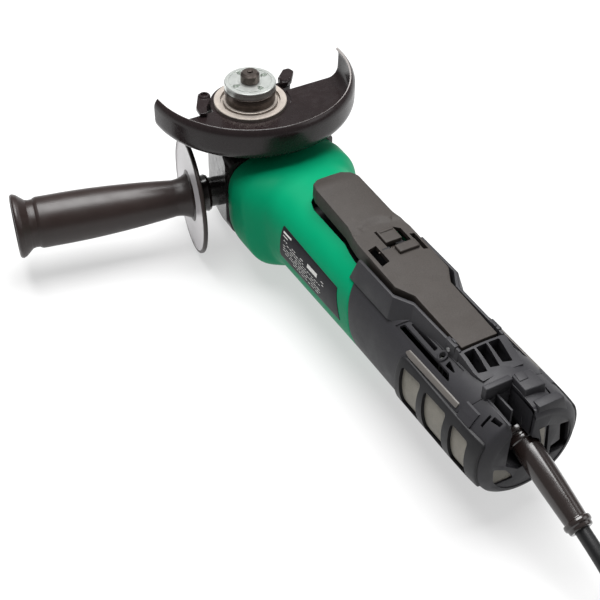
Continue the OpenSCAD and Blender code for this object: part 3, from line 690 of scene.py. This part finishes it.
# --- Strain relief boot, a turned taper with root collars and an end ring
BOOT_ROOT = Vector((0, -330, -57))
BOOT_AXIS = (Vector(CORD_EXIT) - BOOT_ROOT).normalized()
BOOT_LEN = (Vector(CORD_EXIT) - BOOT_ROOT).length
BOOT_SIDE = Vector((1, 0, 0))
BOOT_UP = BOOT_SIDE.cross(BOOT_AXIS)


def on_boot(x, y, h):
    return BOOT_ROOT + BOOT_SIDE * x + BOOT_UP * y + BOOT_AXIS * h


def boot_profile():
    end = BOOT_LEN
    rows = [(0, 0), (10, 0), (10, 3), (8.3, 3.8), (8.3, 5.8), (9.2, 6.4), (9.2, 8.6), (8.3, 9.2)]
    for k in range(1, 9):
        u = k / 9
        rows.append((lerp(8.5, 7.3, u) + 0.25 * math.sin(math.pi * u), lerp(9.2, end - 7.6, u)))
    rows += [(7.25, end - 7.0), (7.3, end - 6.6), (8.5, end - 6.0), (8.7, end - 4.6), (8.5, end - 3.2)]
    rows += [(7.6, end - 2.4), (7.5, end - 0.8), (7.0, end), (5.0, end), (4.7, end - 1.5), (0, end - 1.5)]
    return soften(rows, 0.5, 3)


finish(lathe("strain_relief", boot_profile(), on_boot, 72), "root", "rubber_black", ["cord_boot"])

# --- Side handle
HANDLE_O = Vector((0, -27.5, -74))
HANDLE_LEAN = math.radians(12)
HANDLE_AXIS = Vector((-math.cos(HANDLE_LEAN), math.sin(HANDLE_LEAN), 0))
HANDLE_SIDE = Vector((0, 0, 1)).cross(HANDLE_AXIS)
DISC_T = 60.0
GRIP_END = 190.7
GRIP_R = 18.8
DISC_R = 44.0


def on_handle(x, y, h):
    return HANDLE_O + HANDLE_SIDE * x + Vector((0, 0, 1)) * y + HANDLE_AXIS * h


def grip_profile():
    """Cone from the flange, a long barrel, a groove and a flared end ring with a recessed face."""
    rows = [(0, DISC_T + 2.02), (17.0, DISC_T + 2.02), (16.4, DISC_T + 3.0)]
    for k in range(1, 8):
        u = k / 7
        rows.append((lerp(16.4, 13.6, 1 - (1 - u) ** 2.2), DISC_T + 3 + 10.5 * u))
    for k in range(1, 21):
        u = k / 20
        swell = math.sin(math.pi / 2 * min(1, u * 1.2)) ** 0.9
        rows.append((13.6 + (GRIP_R - 13.6) * swell, DISC_T + 14 + 99 * u))
    end = GRIP_END
    rows += [(18.2, DISC_T + 114.6), (17.5, DISC_T + 115.6), (17.4, DISC_T + 118.4), (17.9, DISC_T + 120.6)]
    rows += [(20.2, DISC_T + 123.4), (22.4, DISC_T + 126), (23.3, DISC_T + 128.2)]
    rows += [(23.2, end - 1.4), (22.4, end - 0.3), (21.2, end), (20.2, end - 0.5), (19.6, end - 2.2)]
    rows += [(18.6, end - 3.0), (0, end - 3.0)]
    return soften(rows, 0.6, 2)


def disc_profile():
    """Thin hand guard disc with a rolled rim and a raised hub."""
    low, top = DISC_T - 1.88, DISC_T + 2.0
    rows = [(4.05, low), (DISC_R - 2.6, low), (DISC_R - 0.9, low + 0.2), (DISC_R, low + 1.0)]
    rows += [(DISC_R, top - 1.2), (DISC_R - 0.8, top - 0.5), (DISC_R - 2.2, top - 0.5)]
    rows += [(DISC_R - 3.0, top - 1.1), (24, top - 1.1), (19.5, top - 0.9)]
    rows += [(17.6, top), (4.05, top), (4.05, low)]
    return soften(rows, 0.35, 2)


finish(lathe("handle_barrel", grip_profile(), on_handle, 120), "root", "handle_plastic", ["handle_grip"])
disc = lathe("handle_disc", disc_profile(), on_handle, 160)
finish(disc, "root", "handle_plastic", ["handle_flange"])
# Painted reflection: faces on the disc's grip side, between its hub and rim, take the pale grey material
# instead of the handle's dark plastic
disc.data.materials.append(DISC_PAINTED_REFLECTION)
for face in disc.data.polygons:
    out = face.center / MM - HANDLE_O
    along = out.dot(HANDLE_AXIS)
    away = (out - HANDLE_AXIS * along).length
    if along > DISC_T + 0.7 and 20 < away < DISC_R - 2.6:
        face.material_index = 1

# --- Wheel guard, a half bowl of pressed steel with a curled lip
GUARD_FLOOR = -19.6
GUARD_SHEET = 2.0
GUARD_HOLE = 30.05


def arc_points(cu, cv, r, a0, a1, steps):
    angles = [math.radians(lerp(a0, a1, k / steps)) for k in range(steps + 1)]
    return [(cu + r * math.cos(a), cv + r * math.sin(a)) for a in angles]


def guard_section():
    """Closed section of the sheet: floor, corner, wall and curled lip."""
    corner = 10.0
    lip = 9.0
    mid = (GUARD_R - corner, GUARD_FLOOR + corner)
    outer = [(GUARD_HOLE, GUARD_FLOOR)] + arc_points(*mid, corner, -90, 0, 12)
    outer += arc_points(GUARD_R - lip, 0, lip, 0, 50, 7)
    inner = arc_points(GUARD_R - lip, 0, lip - GUARD_SHEET + 0.2, 50, 0, 7)
    inner += arc_points(*mid, corner - GUARD_SHEET, 0, -90, 12)
    inner += [(GUARD_HOLE, GUARD_FLOOR + GUARD_SHEET)]
    return outer + inner


def guard_shell():
    """Sweeps the section through the half turn toward the tail."""
    section_points = guard_section()
    n, steps = len(section_points), 120
    points, faces = [], []
    for k in range(steps + 1):
        a = math.pi + math.pi * k / steps
        points += [(r * math.cos(a), r * math.sin(a), z) for r, z in section_points]
    for k in range(steps):
        for i in range(n):
            j = (i + 1) % n
            faces.append([k * n + i, k * n + j, (k + 1) * n + j, (k + 1) * n + i])
    faces += [list(range(n))[::-1], [steps * n + i for i in range(n)]]
    return bevel(mesh_from("guard_shell", points, faces), 0.45, 2, 50)


guard = finish(guard_shell(), "guard", "guard_steel", ["wheel_guard"])
guard.data.materials.append(LIP_BRIGHT)
for face in guard.data.polygons:
    middle = face.center / MM
    if middle.z > 5.2 and math.hypot(middle.x, middle.y) < GUARD_R - 3.3:
        face.material_index = 1


# --- Housings: one smooth skin over the stations, cut where the mouldings part
def shell(name, y_front, y_back, rows, wall=2.4, columns=160, front_round=0.6, back_round=0.6):
    """Thick skin between two edges. y_front and y_back give y at a turn; the edges' corners are rounded."""
    def levels(turn):
        y0, y1 = y_front(turn), y_back(turn)
        ends = [(0, 1), (0.15, 0.5), (0.45, 0.14), (1, 0)]
        listed = [(y0 - front_round * t, front_round * d) for t, d in ends]
        body = [(lerp(y0 - front_round, y1 + back_round, k / rows), 0) for k in range(1, rows)]
        return listed + body + [(y1 + back_round * t, back_round * d) for t, d in reversed(ends)]

    points, faces = [], []
    per = rows + 7
    for inner in (False, True):
        for row in range(per):
            for column in range(columns):
                turn = column / columns
                y, dip = levels(turn)[row]
                points.append(skin_point(y, turn, wall if inner else dip))
    half = per * columns
    for row in range(per - 1):
        for column in range(columns):
            a, b = row * columns + column, row * columns + (column + 1) % columns
            faces.append([a, b, b + columns, a + columns])
            faces.append([half + a, half + a + columns, half + b + columns, half + b])
    last = (per - 1) * columns
    for column in range(columns):
        b = (column + 1) % columns
        faces.append([column, half + column, half + b, b])
        faces.append([last + column, last + b, half + last + b, half + last + column])
    return mesh_from(name, points, faces)


PADDLE_RISE = math.radians(3)
HINGE_Y, HINGE_Z = -281.0, -25.0
GAP = 1.0
PADDLE_SIDE = [
    (9.5, -113), (14.6, -116.5), (16.8, -124), (17.2, -165), (19, -174), (20, -182), (20, -226),
    (13.4, -238), (13, -287),
]
CORNER_RADII = [3, 3, 6, 12, 8, 8, 5, 5, 0.5]


def paddle_outline(grow=0.0):
    """The paddle's outline from above, grown by a margin."""
    side = []
    for i, (x, y) in enumerate(PADDLE_SIDE):
        side.append((x + grow, y + (grow if i == 0 else -grow if i == len(PADDLE_SIDE) - 1 else 0)))
    return side + [(-x, y) for x, y in reversed(side)]


WELL = rounded(paddle_outline(GAP), CORNER_RADII + CORNER_RADII[::-1], 4)
RIM_INNER = [(22.4, -180), (22.4, -229), (15.4, -241), (14.6, -288.5)]


def plain(y):
    return lambda turn: y


def front_seam(turn):
    """The green moulding ends a little further forward at the top than at the bottom."""
    return JOINT_Y + 5 + 12 * math.sin(2 * math.pi * turn)


def tail_seam(turn):
    """The tail cover's front edge, slanted back over the top."""
    return SEAM_Y - 9 * ease(math.sin(2 * math.pi * turn) * 1.6 - 0.5)


def on_top(p):
    """Puts a point in plan on the skin's top, p.z above it."""
    return Vector((p.x, p.y, skin_z(p.x, p.y) + p.z))


def top_prism(name, outline, low, high):
    """Prism over an outline in plan whose ends follow the skin's top."""
    return warp(prism(name, outline, low, high), 3.0, on_top)


def on_side(side):
    """Puts a point on the skin's side, p.x outside it."""
    def place(p):
        return Vector((side * (skin_x(p.y, p.z) + p.x), p.y, p.z))
    return place


def side_plate(name, outline, low, high, side, edge=0.0, step=3.0):
    """Plate over an outline in y and z that follows the skin between two heights above it."""
    obj = prism(name, outline, low, high, along_x)
    if edge:
        bevel(obj, edge, 2)
    return warp(obj, step, on_side(side), (1, 2))


def mirrored(outline):
    return [(-x, y) for x, y in reversed(outline)]


def both(outline):
    """An outline from its right half, given from front to back."""
    return list(outline) + mirrored(outline)


def tapered(name, low_outline, high_outline, low, high):
    """Solid between two outlines with as many points at two heights."""
    return between(name, [(x, y, low) for x, y in low_outline], [(x, y, high) for x, y in high_outline])


def circle(x, y, r, steps=32):
    angles = [2 * math.pi * k / steps for k in range(steps)]
    return [(x + r * math.cos(a), y + r * math.sin(a)) for a in angles]


# --- Motor housing, green
green = shell("green_housing", plain(-48), front_seam, 76, front_round=2.6, back_round=0.5)
cut(green, [prism("well", WELL, -44, CUT_TOP)])
finish(green, "root", "green_plastic", ["motor_housing"])

# Floor and walls of the well, with the hole that the switch's plunger comes through
WELL_FLOOR = -37.0


def well_tray(name, outline, low, high):
    """Tray under a part of the well: its floor, and a wall round the outline."""
    outer = [(x + math.copysign(1.4, x), y) for x, y in outline]
    tray = prism(name, outer, low, high)
    return cut(tray, [prism("inside", outline, low + 1.6, high + 1)])


front_well = both([(12, -112.5), (16.8, -114.5), (18.2, -165), (20.8, -180), (20.8, -200)])
finish(well_tray("well_front", front_well, WELL_FLOOR - 1.6, -31.5), "root", "switch_black")
rear_well = both([(22.2, -192), (22.2, -229), (15.2, -241), (14.5, -288)])
rear_tray = well_tray("well_rear", rear_well, WELL_FLOOR - 1.6, -30.0)
cut(rear_tray, [prism("plunger_hole", circle(0, -238, 5), -50, -30)])
finish(rear_tray, "root", "switch_black")

# --- Rear housing: rim wall round the well, vent block, louvre channel, screws
FILTER_WINDOWS = [
    [(-262, -47), (-281.5, -45.5), (-282.5, -77), (-265, -77)],
    [(-286, -46.5), (-308, -46), (-309.5, -77), (-290, -77)],
    [(-314, -47.5), (-330.5, -48), (-332, -76), (-317, -77)],
]
WINDOW_IN, WINDOW_OUT = 20, 60
CHANNEL = [(18.2, -246), (27.2, -240), (28.4, -262), (27.6, -301), (22.5, -301), (17.4, -297)]
LOUVRES = [
    [(18.6, -249), (20.8, -246.5), (21.2, -273), (18.8, -273)],
    [(23.0, -244), (26.0, -242), (26.2, -296), (23.2, -291)],
    [(18.6, -285), (22.2, -285.5), (21.4, -296)],
]
VENTS = [(-14.2, -6.8), (-5.4, 2.0), (3.4, 11.4)]
SCREW = (20.2, -279.5)
BOSS_RING = [(1.9, -1.4), (3.3, -1.4), (3.3, 0.15), (3.0, 0.4), (2.2, 0.4), (1.9, 0.15), (1.9, -1.4)]
RIM_TOP = -20.0


def vent_slot(x0, x1):
    """Outline of the air slot between x0 and x1."""
    return rounded([(x0, -290.8), (x1, -290.8), (x1 - 1.2, -307.0), (x0 + 0.4, -305.5)], 0.5, 2)


def window_cutters(windows, sides=(-1, 1)):
    """Cutters through the skin at one side or both."""
    rings = [rounded(outline, 2.6, 4) for outline in windows]
    places = [(ring, side) for ring in rings for side in sides]
    return [prism("window", ring, side * WINDOW_IN, side * WINDOW_OUT, along_x) for ring, side in places]


rear = shell("rear_shell", front_seam, tail_seam, 50, front_round=0.5)
cut(rear, [prism("well", both(RIM_INNER), -44, CUT_TOP)] + window_cutters(FILTER_WINDOWS[:2]))
cut(rear, [top_prism("channel", o, -1.1, 4) for o in (CHANNEL, mirrored(CHANNEL))])
louvres = [o for outline in LOUVRES for o in (outline, mirrored(outline))]
cutters = [prism("louvre", rounded(o, 0.8, 3), CUT_LOW, CUT_TOP) for o in louvres]
bores = [circle(side * SCREW[0], SCREW[1], 1.9, 24) for side in (-1, 1)]
cutters += [prism("screw_bore", bore, CUT_LOW, CUT_TOP) for bore in bores]
cutters += [prism("vent_through", vent_slot(x0, x1), CUT_LOW, CUT_TOP) for x0, x1 in VENTS]
cut(rear, cutters)
finish(rear, "root", "charcoal_plastic", ["rear_housing"])


def rim_wall(side):
    """Wall beside the paddle with a flared foot."""
    inner = [(22.4, -191), (22.4, -229), (15.4, -241), (14.6, -289.5)]
    top = [(24.6, -191), (24.4, -231), (17.4, -243), (16.6, -289.5)]
    foot = [(29.0, -188), (29.0, -233), (21.0, -246.5), (17.6, -289.5)]
    high = top + inner[::-1]
    low = foot + inner[::-1]
    if side < 0:
        high, low = mirrored(high), mirrored(low)
    return bevel(tapered("rim_wall", low, high, -35.0, RIM_TOP), 0.5, 2, 25)


def vent_slope(p):
    """Top of the vent block falls toward the tail and the sides."""
    if p.z > -28:
        p.z = RIM_TOP - 0.2 - 4.6 * ease((-289 - p.y) / 22) - 0.9 * (p.x / 16) ** 2
    return p


vent_outline = both([(16.6, -289.3), (16.2, -304), (14.6, -311.5)])
vent = warp(prism("vent_block", vent_outline, -34, RIM_TOP), 2.0, vent_slope)
cut(vent, [prism("vent", vent_slot(x0, x1), -60, CUT_TOP) for x0, x1 in VENTS])
rims = join("rim", [rim_wall(-1), rim_wall(1), vent])
finish(rims, "root", "charcoal_plastic")

for side in (-1, 1):
    clip = [(side * 14.2, -286), (side * 17.3, -286), (side * 17.3, -276.5), (side * 14.2, -276.5)]
    bits = [
        bevel(prism("clip", clip, -30, -19.0), 0.5, 2),
        box("clip_lip", sorted((side * 13.9, side * 15.4)), (-283.5, -279.5), (-24, -18.2), 0.4),
        lathe("boss", BOSS_RING, lambda x, y, h: on_top(Vector((side * SCREW[0] + x, SCREW[1] + y, h))), 40),
    ]
    finish(join(f"hinge_clip_{side}", bits), "root", "charcoal_plastic")

# Frames round the dust filters, the pale strips above them, and their screens
FRAME = [(-257.5, -43), (-262, -41.5), (-341, -42.5), (-341.5, -80), (-263, -82), (-257.5, -78)]
STRIP = [(-258, -40.0), (-260, -37.8), (-311, -37.4), (-311, -40.2), (-262.5, -40.9)]
for side, name in ((-1, "left"), (1, "right")):
    plate = side_plate("frame", rounded(FRAME, 3, 4), -1.0, 1.7, side, 0.7)
    cut(plate, window_cutters(FILTER_WINDOWS, (side,)))
    finish(plate, "root", "switch_black")
    plate.name = f"filter_frame_{name}"
    strip = side_plate("strip", rounded(STRIP, 0.6, 2), -0.5, 0.9, side, 0.3)
    strip.name = f"filter_strip_{name}"
    finish(strip, "root", "charcoal_plastic", (), WELD_PALE)
    screens = [
        side_plate(f"screen_{i}", rounded(o, 2.6, 4), -1.4, -0.6, side) for i, o in enumerate(FILTER_WINDOWS)
    ]
    finish(join(f"filter_screen_{name}", screens), "root", "filter_mesh", [f"filter_{name}"])

# --- Tail cover, with the notch over the boot, its bridge and tower, and the end face
NOTCH = [(-18, -321.5), (-2, -321.5), (-2, -352), (-18, -352)]
TAIL_SLOTS = [
    [(-28.6, -330.4), (-22.6, -330.4), (-22.6, -332.2), (-28.6, -332.2)],
    [(-24.4, -333.4), (-21.6, -333.4), (-20.6, -340), (-22.8, -340)],
]
SIDE_SLOT = [(14.2, -337), (15.8, -337), (16.2, -329), (14.8, -329)]
tail = shell("tail_shell", tail_seam, plain(TAIL_Y), 26, wall=3.2, back_round=2.0)
tail_cuts = [prism("notch", NOTCH, -60, CUT_TOP)] + window_cutters(FILTER_WINDOWS[2:])
tail_cuts.append(prism("side_slot", SIDE_SLOT, -40, CUT_TOP))
tail_cuts += [prism("tail_slot", outline, CUT_LOW, CUT_TOP) for outline in TAIL_SLOTS]
cut(tail, tail_cuts)
cut(tail, [top_prism("seam", [(-19.4, -303), (-18.9, -303), (-18.9, -330), (-19.4, -330)], -0.6, 3)])
finish(tail, "root", "charcoal_plastic", ["tail_cover"])


def end_outline(y, inset, steps=96):
    """Section of the body at y, as an outline in x and z."""
    ring = [skin_point(y, k / steps, inset) for k in range(steps)]
    return [(p.x, p.z) for p in ring]


NOTCH_END = [(-18, -20), (-2, -20), (-2, -47), (4.5, -52), (7.0, -61), (4, -70.5), (-8, -72), (-18, -64)]
END_SLOT = [(8.0, -43), (10.0, -43), (13.0, -67), (10.6, -67)]
END_RECESS = [(18.8, -47), (25.6, -48.2), (28.6, -70), (15.5, -72.5), (15.0, -64.5), (21.4, -62)]
END_WINDOW = [(-27, -62), (-17, -68), (-9.5, -78.5), (-25, -77.5)]
# Outline of a pale pad beside the end slot: a painted highlight for the lit edge of the slot
END_PAINTED_HIGHLIGHT = [(2.8, -43), (6.8, -43), (9.4, -62), (7.8, -62), (5.6, -51.5)]
end_face = prism("end_face", end_outline(TAIL_Y + 1.2, 2.0), TAIL_Y + 0.4, TAIL_Y + 3.4, along_y)
END_CUTS = [(END_SLOT, 0.4, 2), (END_RECESS, 0.8, 2), (END_WINDOW, 1.5, 3), (NOTCH_END, 2.0, 3)]
cut(end_face, [prism("end_cut", rounded(*c), TAIL_Y - 2, TAIL_Y + 6, along_y) for c in END_CUTS])
bevel(end_face, 0.5, 2)
parts = [
    end_face,
    box("wall_left", (-19.6, -18.0), (-344, -320), (-66, -29.5), 0.3),
    box("wall_front", (-19.6, 10), (-321.5, -319.8), (-70, -29.5), 0.3),
    box("wall_right", (-2.0, -0.4), (-344, -321), (-48, -26.5), 0.3),
    box("notch_floor", (-19.6, 10), (-344, -320), (-74, -72), 0.3),
    box("bridge", (-20.5, -1.5), (-321.8, -317.6), (-30, -20.6), 0.7, 3),
    box("rib", (-12.2, -10.8), (-336, -321), (-40, -28.5), 0.3),
]


def tower():
    """Block beside the notch that leans out toward its foot."""
    high = [(-1.0, -319.6), (12.0, -320.4), (12.4, -334.0), (-1.6, -333.0)]
    low = [(-2.4, -318), (13.8, -319), (14.6, -336.5), (-2.4, -336)]
    body = bevel(tapered("tower", low, high, -46, -20.2), 0.8, 3, 30)
    pad = bevel(prism("pad", [(0.6, -319.4), (7.4, -319.6), (6.2, -326), (-0.2, -326)], -22, -19.6), 0.4, 2)
    return [body, pad]


STEP_LOW = [(-0.6, -337.5), (22, -337.5), (24, -344.8), (-0.6, -344.8)]
STEP_HIGH = [(0.4, -338.6), (17, -338.6), (18, -344.6), (0.4, -344.6)]
step = bevel(tapered("step", STEP_LOW, STEP_HIGH, -40, -24.2), 0.7, 2, 30)
finish(join("tail_end", parts + tower() + [step]), "root", "charcoal_plastic")
# Painted highlight: a thin pad in the filter mesh's pale colour, laid on the end face beside the slot
pale = prism("end_painted_highlight", rounded(END_PAINTED_HIGHLIGHT, 0.4, 2), TAIL_Y + 0.2, TAIL_Y + 0.6, along_y)
finish(pale, "root", "filter_mesh")
pane = prism("end_window", rounded(END_WINDOW, 1.5, 3), TAIL_Y + 1.6, TAIL_Y + 2.2, along_y)
finish(pane, "root", "filter_mesh")

# --- Data plate: bars and a box stand for its print
PRINT_LOW, PRINT_TOP = 0.28, 0.36
PLATE = [(-111.5, -69), (-112.5, -43.5), (-183, -45.5), (-191, -68)]
plate = side_plate("data_label", rounded(PLATE, 1.0, 3), -0.2, 0.3, -1, 0.08, 2.5)
finish(plate, "root", "plate_dark", ["data_plate"])


def print_bar(y0, y1, z0, z1):
    return side_plate("bar", [(y0, z0), (y1, z0), (y1, z1), (y0, z1)], PRINT_LOW, PRINT_TOP, -1)


def print_rows():
    """Box in an open rectangle, a heading and rows of thin bars, set out from a fixed seed."""
    dice = random.Random(4)
    bars = [print_bar(-160.5, -148.0, -53.6, -50.6)]
    bars += [print_bar(-125, -114.5, -47.6, -46.4), print_bar(-121, -115, -49.8, -49.2)]
    z = -52.6
    while z > -66.5:
        y = -116.5
        end = -170 - (z + 52) * 0.6
        while y > end:
            length = dice.uniform(1.2, 4.6)
            clear_of_box = z < -56 or y - length > -145 or y < -163
            if clear_of_box and dice.random() < 0.8:
                bars.append(print_bar(y - length, y, z - 0.2, z + 0.2))
            y -= length + dice.uniform(0.6, 1.4)
        z -= 2.0
    return bars


finish(join("data_print", print_rows()), "root", "plate_dark", (), PRINT_WHITE)

# --- Paddle: a hollow moulding, with a raised tongue, two side windows and the lock-off's slot
PADDLE_TOP, PADDLE_LOW = -19.5, -31.0
LEVER_Y, LEVER_Z = -194, -22.3
PADDLE_SKIN = 2.2


def released(p):
    """Lifts a point from the flat paddle to the released one."""
    dy, dz = p.y - HINGE_Y, p.z - HINGE_Z
    c, s = math.cos(PADDLE_RISE), math.sin(PADDLE_RISE)
    return Vector((p.x, HINGE_Y + dy * c - dz * s, HINGE_Z + dy * s + dz * c))


def paddle_surface(p):
    """Crown of the tongue, the arched step behind it, and the drooping nose."""
    if p.z < PADDLE_TOP - 4:
        return released(p)
    half = 17.5 if p.y > -170 else 20.0
    across = min(1.0, abs(p.x) / half)
    arch = -169.5 - 6.5 * across**2
    tongue = ease((p.y - arch) / 1.8)
    p.z += (1.5 - 1.1 * across**2) * tongue
    p.z += 0.3 * (1 - across**2) * ease((-190 - p.y) / 12)
    p.z -= 2.8 * ease((p.y + 128) / 16) ** 2 + 0.7
    return released(p)


outline = rounded(paddle_outline(), CORNER_RADII + CORNER_RADII[::-1], 4)
paddle = bevel(prism("paddle_cover", outline, PADDLE_LOW, PADDLE_TOP), 1.1, 3)
cut(paddle, [prism("hollow", paddle_outline(-PADDLE_SKIN), PADDLE_LOW - 1, PADDLE_TOP - 3)])
LOCK_SLOT = [(-4.6, -177.2), (8.4, -177.2), (13.2, -181.5), (13.2, -195.1), (-4.6, -195.1)]
cut(paddle, [
    prism("lock_slot", LOCK_SLOT, -28, CUT_TOP),
    prism("window_left", [(-17.2, -190), (-10.4, -188.5), (-10.4, -205), (-17.2, -207)], -28, CUT_TOP),
    prism("window_right", [(15.2, -188.5), (18.4, -189.5), (18.4, -206), (15.2, -205)], -28, CUT_TOP),
])
paddle = warp(paddle, 2.5, paddle_surface)
catch = warp(box("catch", (-1.0, 14.2), (-202.6, -195.4), (-22, -17.7), 0.7, 3), 2.5, released)
EAR = [(1.55, -1.1), (4.0, -1.1), (4.0, 1.1), (1.55, 1.1), (1.55, -1.1)]


def hinge_ear(side):
    """Ring of the paddle about its hinge pin."""
    def place(x, y, h):
        return released(Vector((side * 12.0 + h, HINGE_Y + x, HINGE_Z + y)))
    return lathe("ear", EAR, place, 40)


boss = prism("push_boss", circle(0, -238, 4), -29, PADDLE_TOP - 2)
boss = warp(boss, 20, released)
moulding = join("paddle_cover", [paddle, catch, boss, hinge_ear(-1), hinge_ear(1)])
finish(moulding, "paddle", "paddle_plastic", ["paddle"])


def lever_barrel(x0, x1):
    """Turned barrel of the lock-off lever, about its pin."""
    return lathe("barrel", [(1.05, x0), (2.3, x0), (2.3, x1), (1.05, x1), (1.05, x0)],
                 lambda x, y, h: released(Vector((h, LEVER_Y + x, LEVER_Z + y))), 32)


def lever_block(*args):
    """Block of the lever, drawn with the paddle flat."""
    return warp(box(*args), 3.0, released)


lever_bits = [
    lever_block("thumb", (-4.0, 8.2), (-190.6, -177.8), (-22.2, -18.6), 0.5, 3),
    lever_block("ridge", (-2.6, 7.2), (-181.4, -180.2), (-19, -18.0), 0.3),
    lever_block("leg", (-4.0, 7.0), (-186, -183.6), (-31, -21), 0.4),
]
finish(join("lock_lever", lever_bits), "lock_off", "paddle_plastic", ["lock_off_lever"])
# Painted shade: the lever's arms and barrels get the near-black material rather than the lever's own colour,
# so that they read as the dark gap behind the thumb
arms = []
for x0, x1 in ((-8.8, -3.3), (3.3, 8.8)):
    arms.append(lever_barrel(x0, x1))
    arms.append(lever_block("arm", (max(x0, -4.0), x1), (-193.6, -189.5), (-23.4, -21.4), 0.3))
finish(join("lock_arms", arms), "lock_off", "switch_black")

# --- Guard's clamp: a latch on one side and a lever on the other
LATCH = [(-26.5, 21.5), (-32.5, 21.5), (-41.5, 6), (-42.5, -3), (-37.5, -4.5), (-34.5, 3), (-27, 12)]
latch = [bevel(prism("latch", rounded(LATCH, 1.6, 3), -17.2, -14.2), 0.7, 3)]
CAP = [
    (0, -24.4), (1.9, -24.4), (1.9, -17), (4.6, -17), (4.6, -14.2), (3.8, -13.2), (2.3, -13.0), (2.2, -14.8),
    (0, -14.8),
]
latch.append(lathe("cap", CAP, lambda x, y, h: (-29.5 + x, 17 + y, h), 48))
finish(join("clamp_latch", latch), "guard", "guard_steel", ["guard_clamp_screw"])
LEVER = [(29.8, 5.5), (34, 3.8), (38.6, 6.2), (46.0, 16), (44.6, 21.2), (39.6, 21.6), (30.2, 12.8)]
knob = [bevel(prism("knob", rounded(LEVER, 1.8, 3), -18.3, -14.0), 0.9, 3)]
PIVOT = [(0, -24.4), (1.9, -24.4), (1.9, -18), (4.2, -18), (4.2, -13.6), (3.4, -12.8), (0, -12.6)]
knob.append(lathe("pivot", PIVOT, lambda x, y, h: (34 + x, 9 + y, h), 48))
finish(join("clamp_lever", knob), "guard_lever", "guard_steel", ["guard_lever"])

# --- Stage: pale floor and soft studio light
FLOOR_HALF = 4000
floor_outline = [(x * FLOOR_HALF, y * FLOOR_HALF) for x, y in ((-1, -1), (1, -1), (1, 1), (-1, 1))]
floor = prism("floor", floor_outline, FLOOR_Z - 10, FLOOR_Z - 0.1)
floor_look = Look("floor")
floor_look.shade(
    Base_Color=(0.3, 0.3, 0.3, 1), Emission_Color=(1, 1, 1, 1), Emission_Strength=0.55, Roughness=0.9,
    Specular_IOR_Level=0.1,
)
paint(floor, floor_look.material)

world = bpy.data.worlds.new("studio")
world.use_nodes = True
sky = world.node_tree.nodes["Background"].inputs
sky["Color"].default_value = (1, 1, 1, 1)
sky["Strength"].default_value = 0.28
bpy.context.scene.world = world
bpy.context.scene.view_settings.view_transform = "Standard"


def softbox(name, place, target, size, watts):
    data = bpy.data.lights.new(name, "AREA")
    data.shape = "RECTANGLE"
    data.size, data.size_y = size
    data.energy = watts
    lamp = bpy.data.objects.new(name, data)
    bpy.context.scene.collection.objects.link(lamp)
    lamp.location = place
    lamp.rotation_euler = (Vector(target) - Vector(place)).to_track_quat("-Z", "Y").to_euler()


softbox("key", (0.1, 0.2, 1.7), (0, -0.15, -0.06), (1.5, 1.5), 80)
softbox("fill", (1.1, -0.9, 0.9), (0, -0.15, -0.06), (1.0, 0.7), 4)
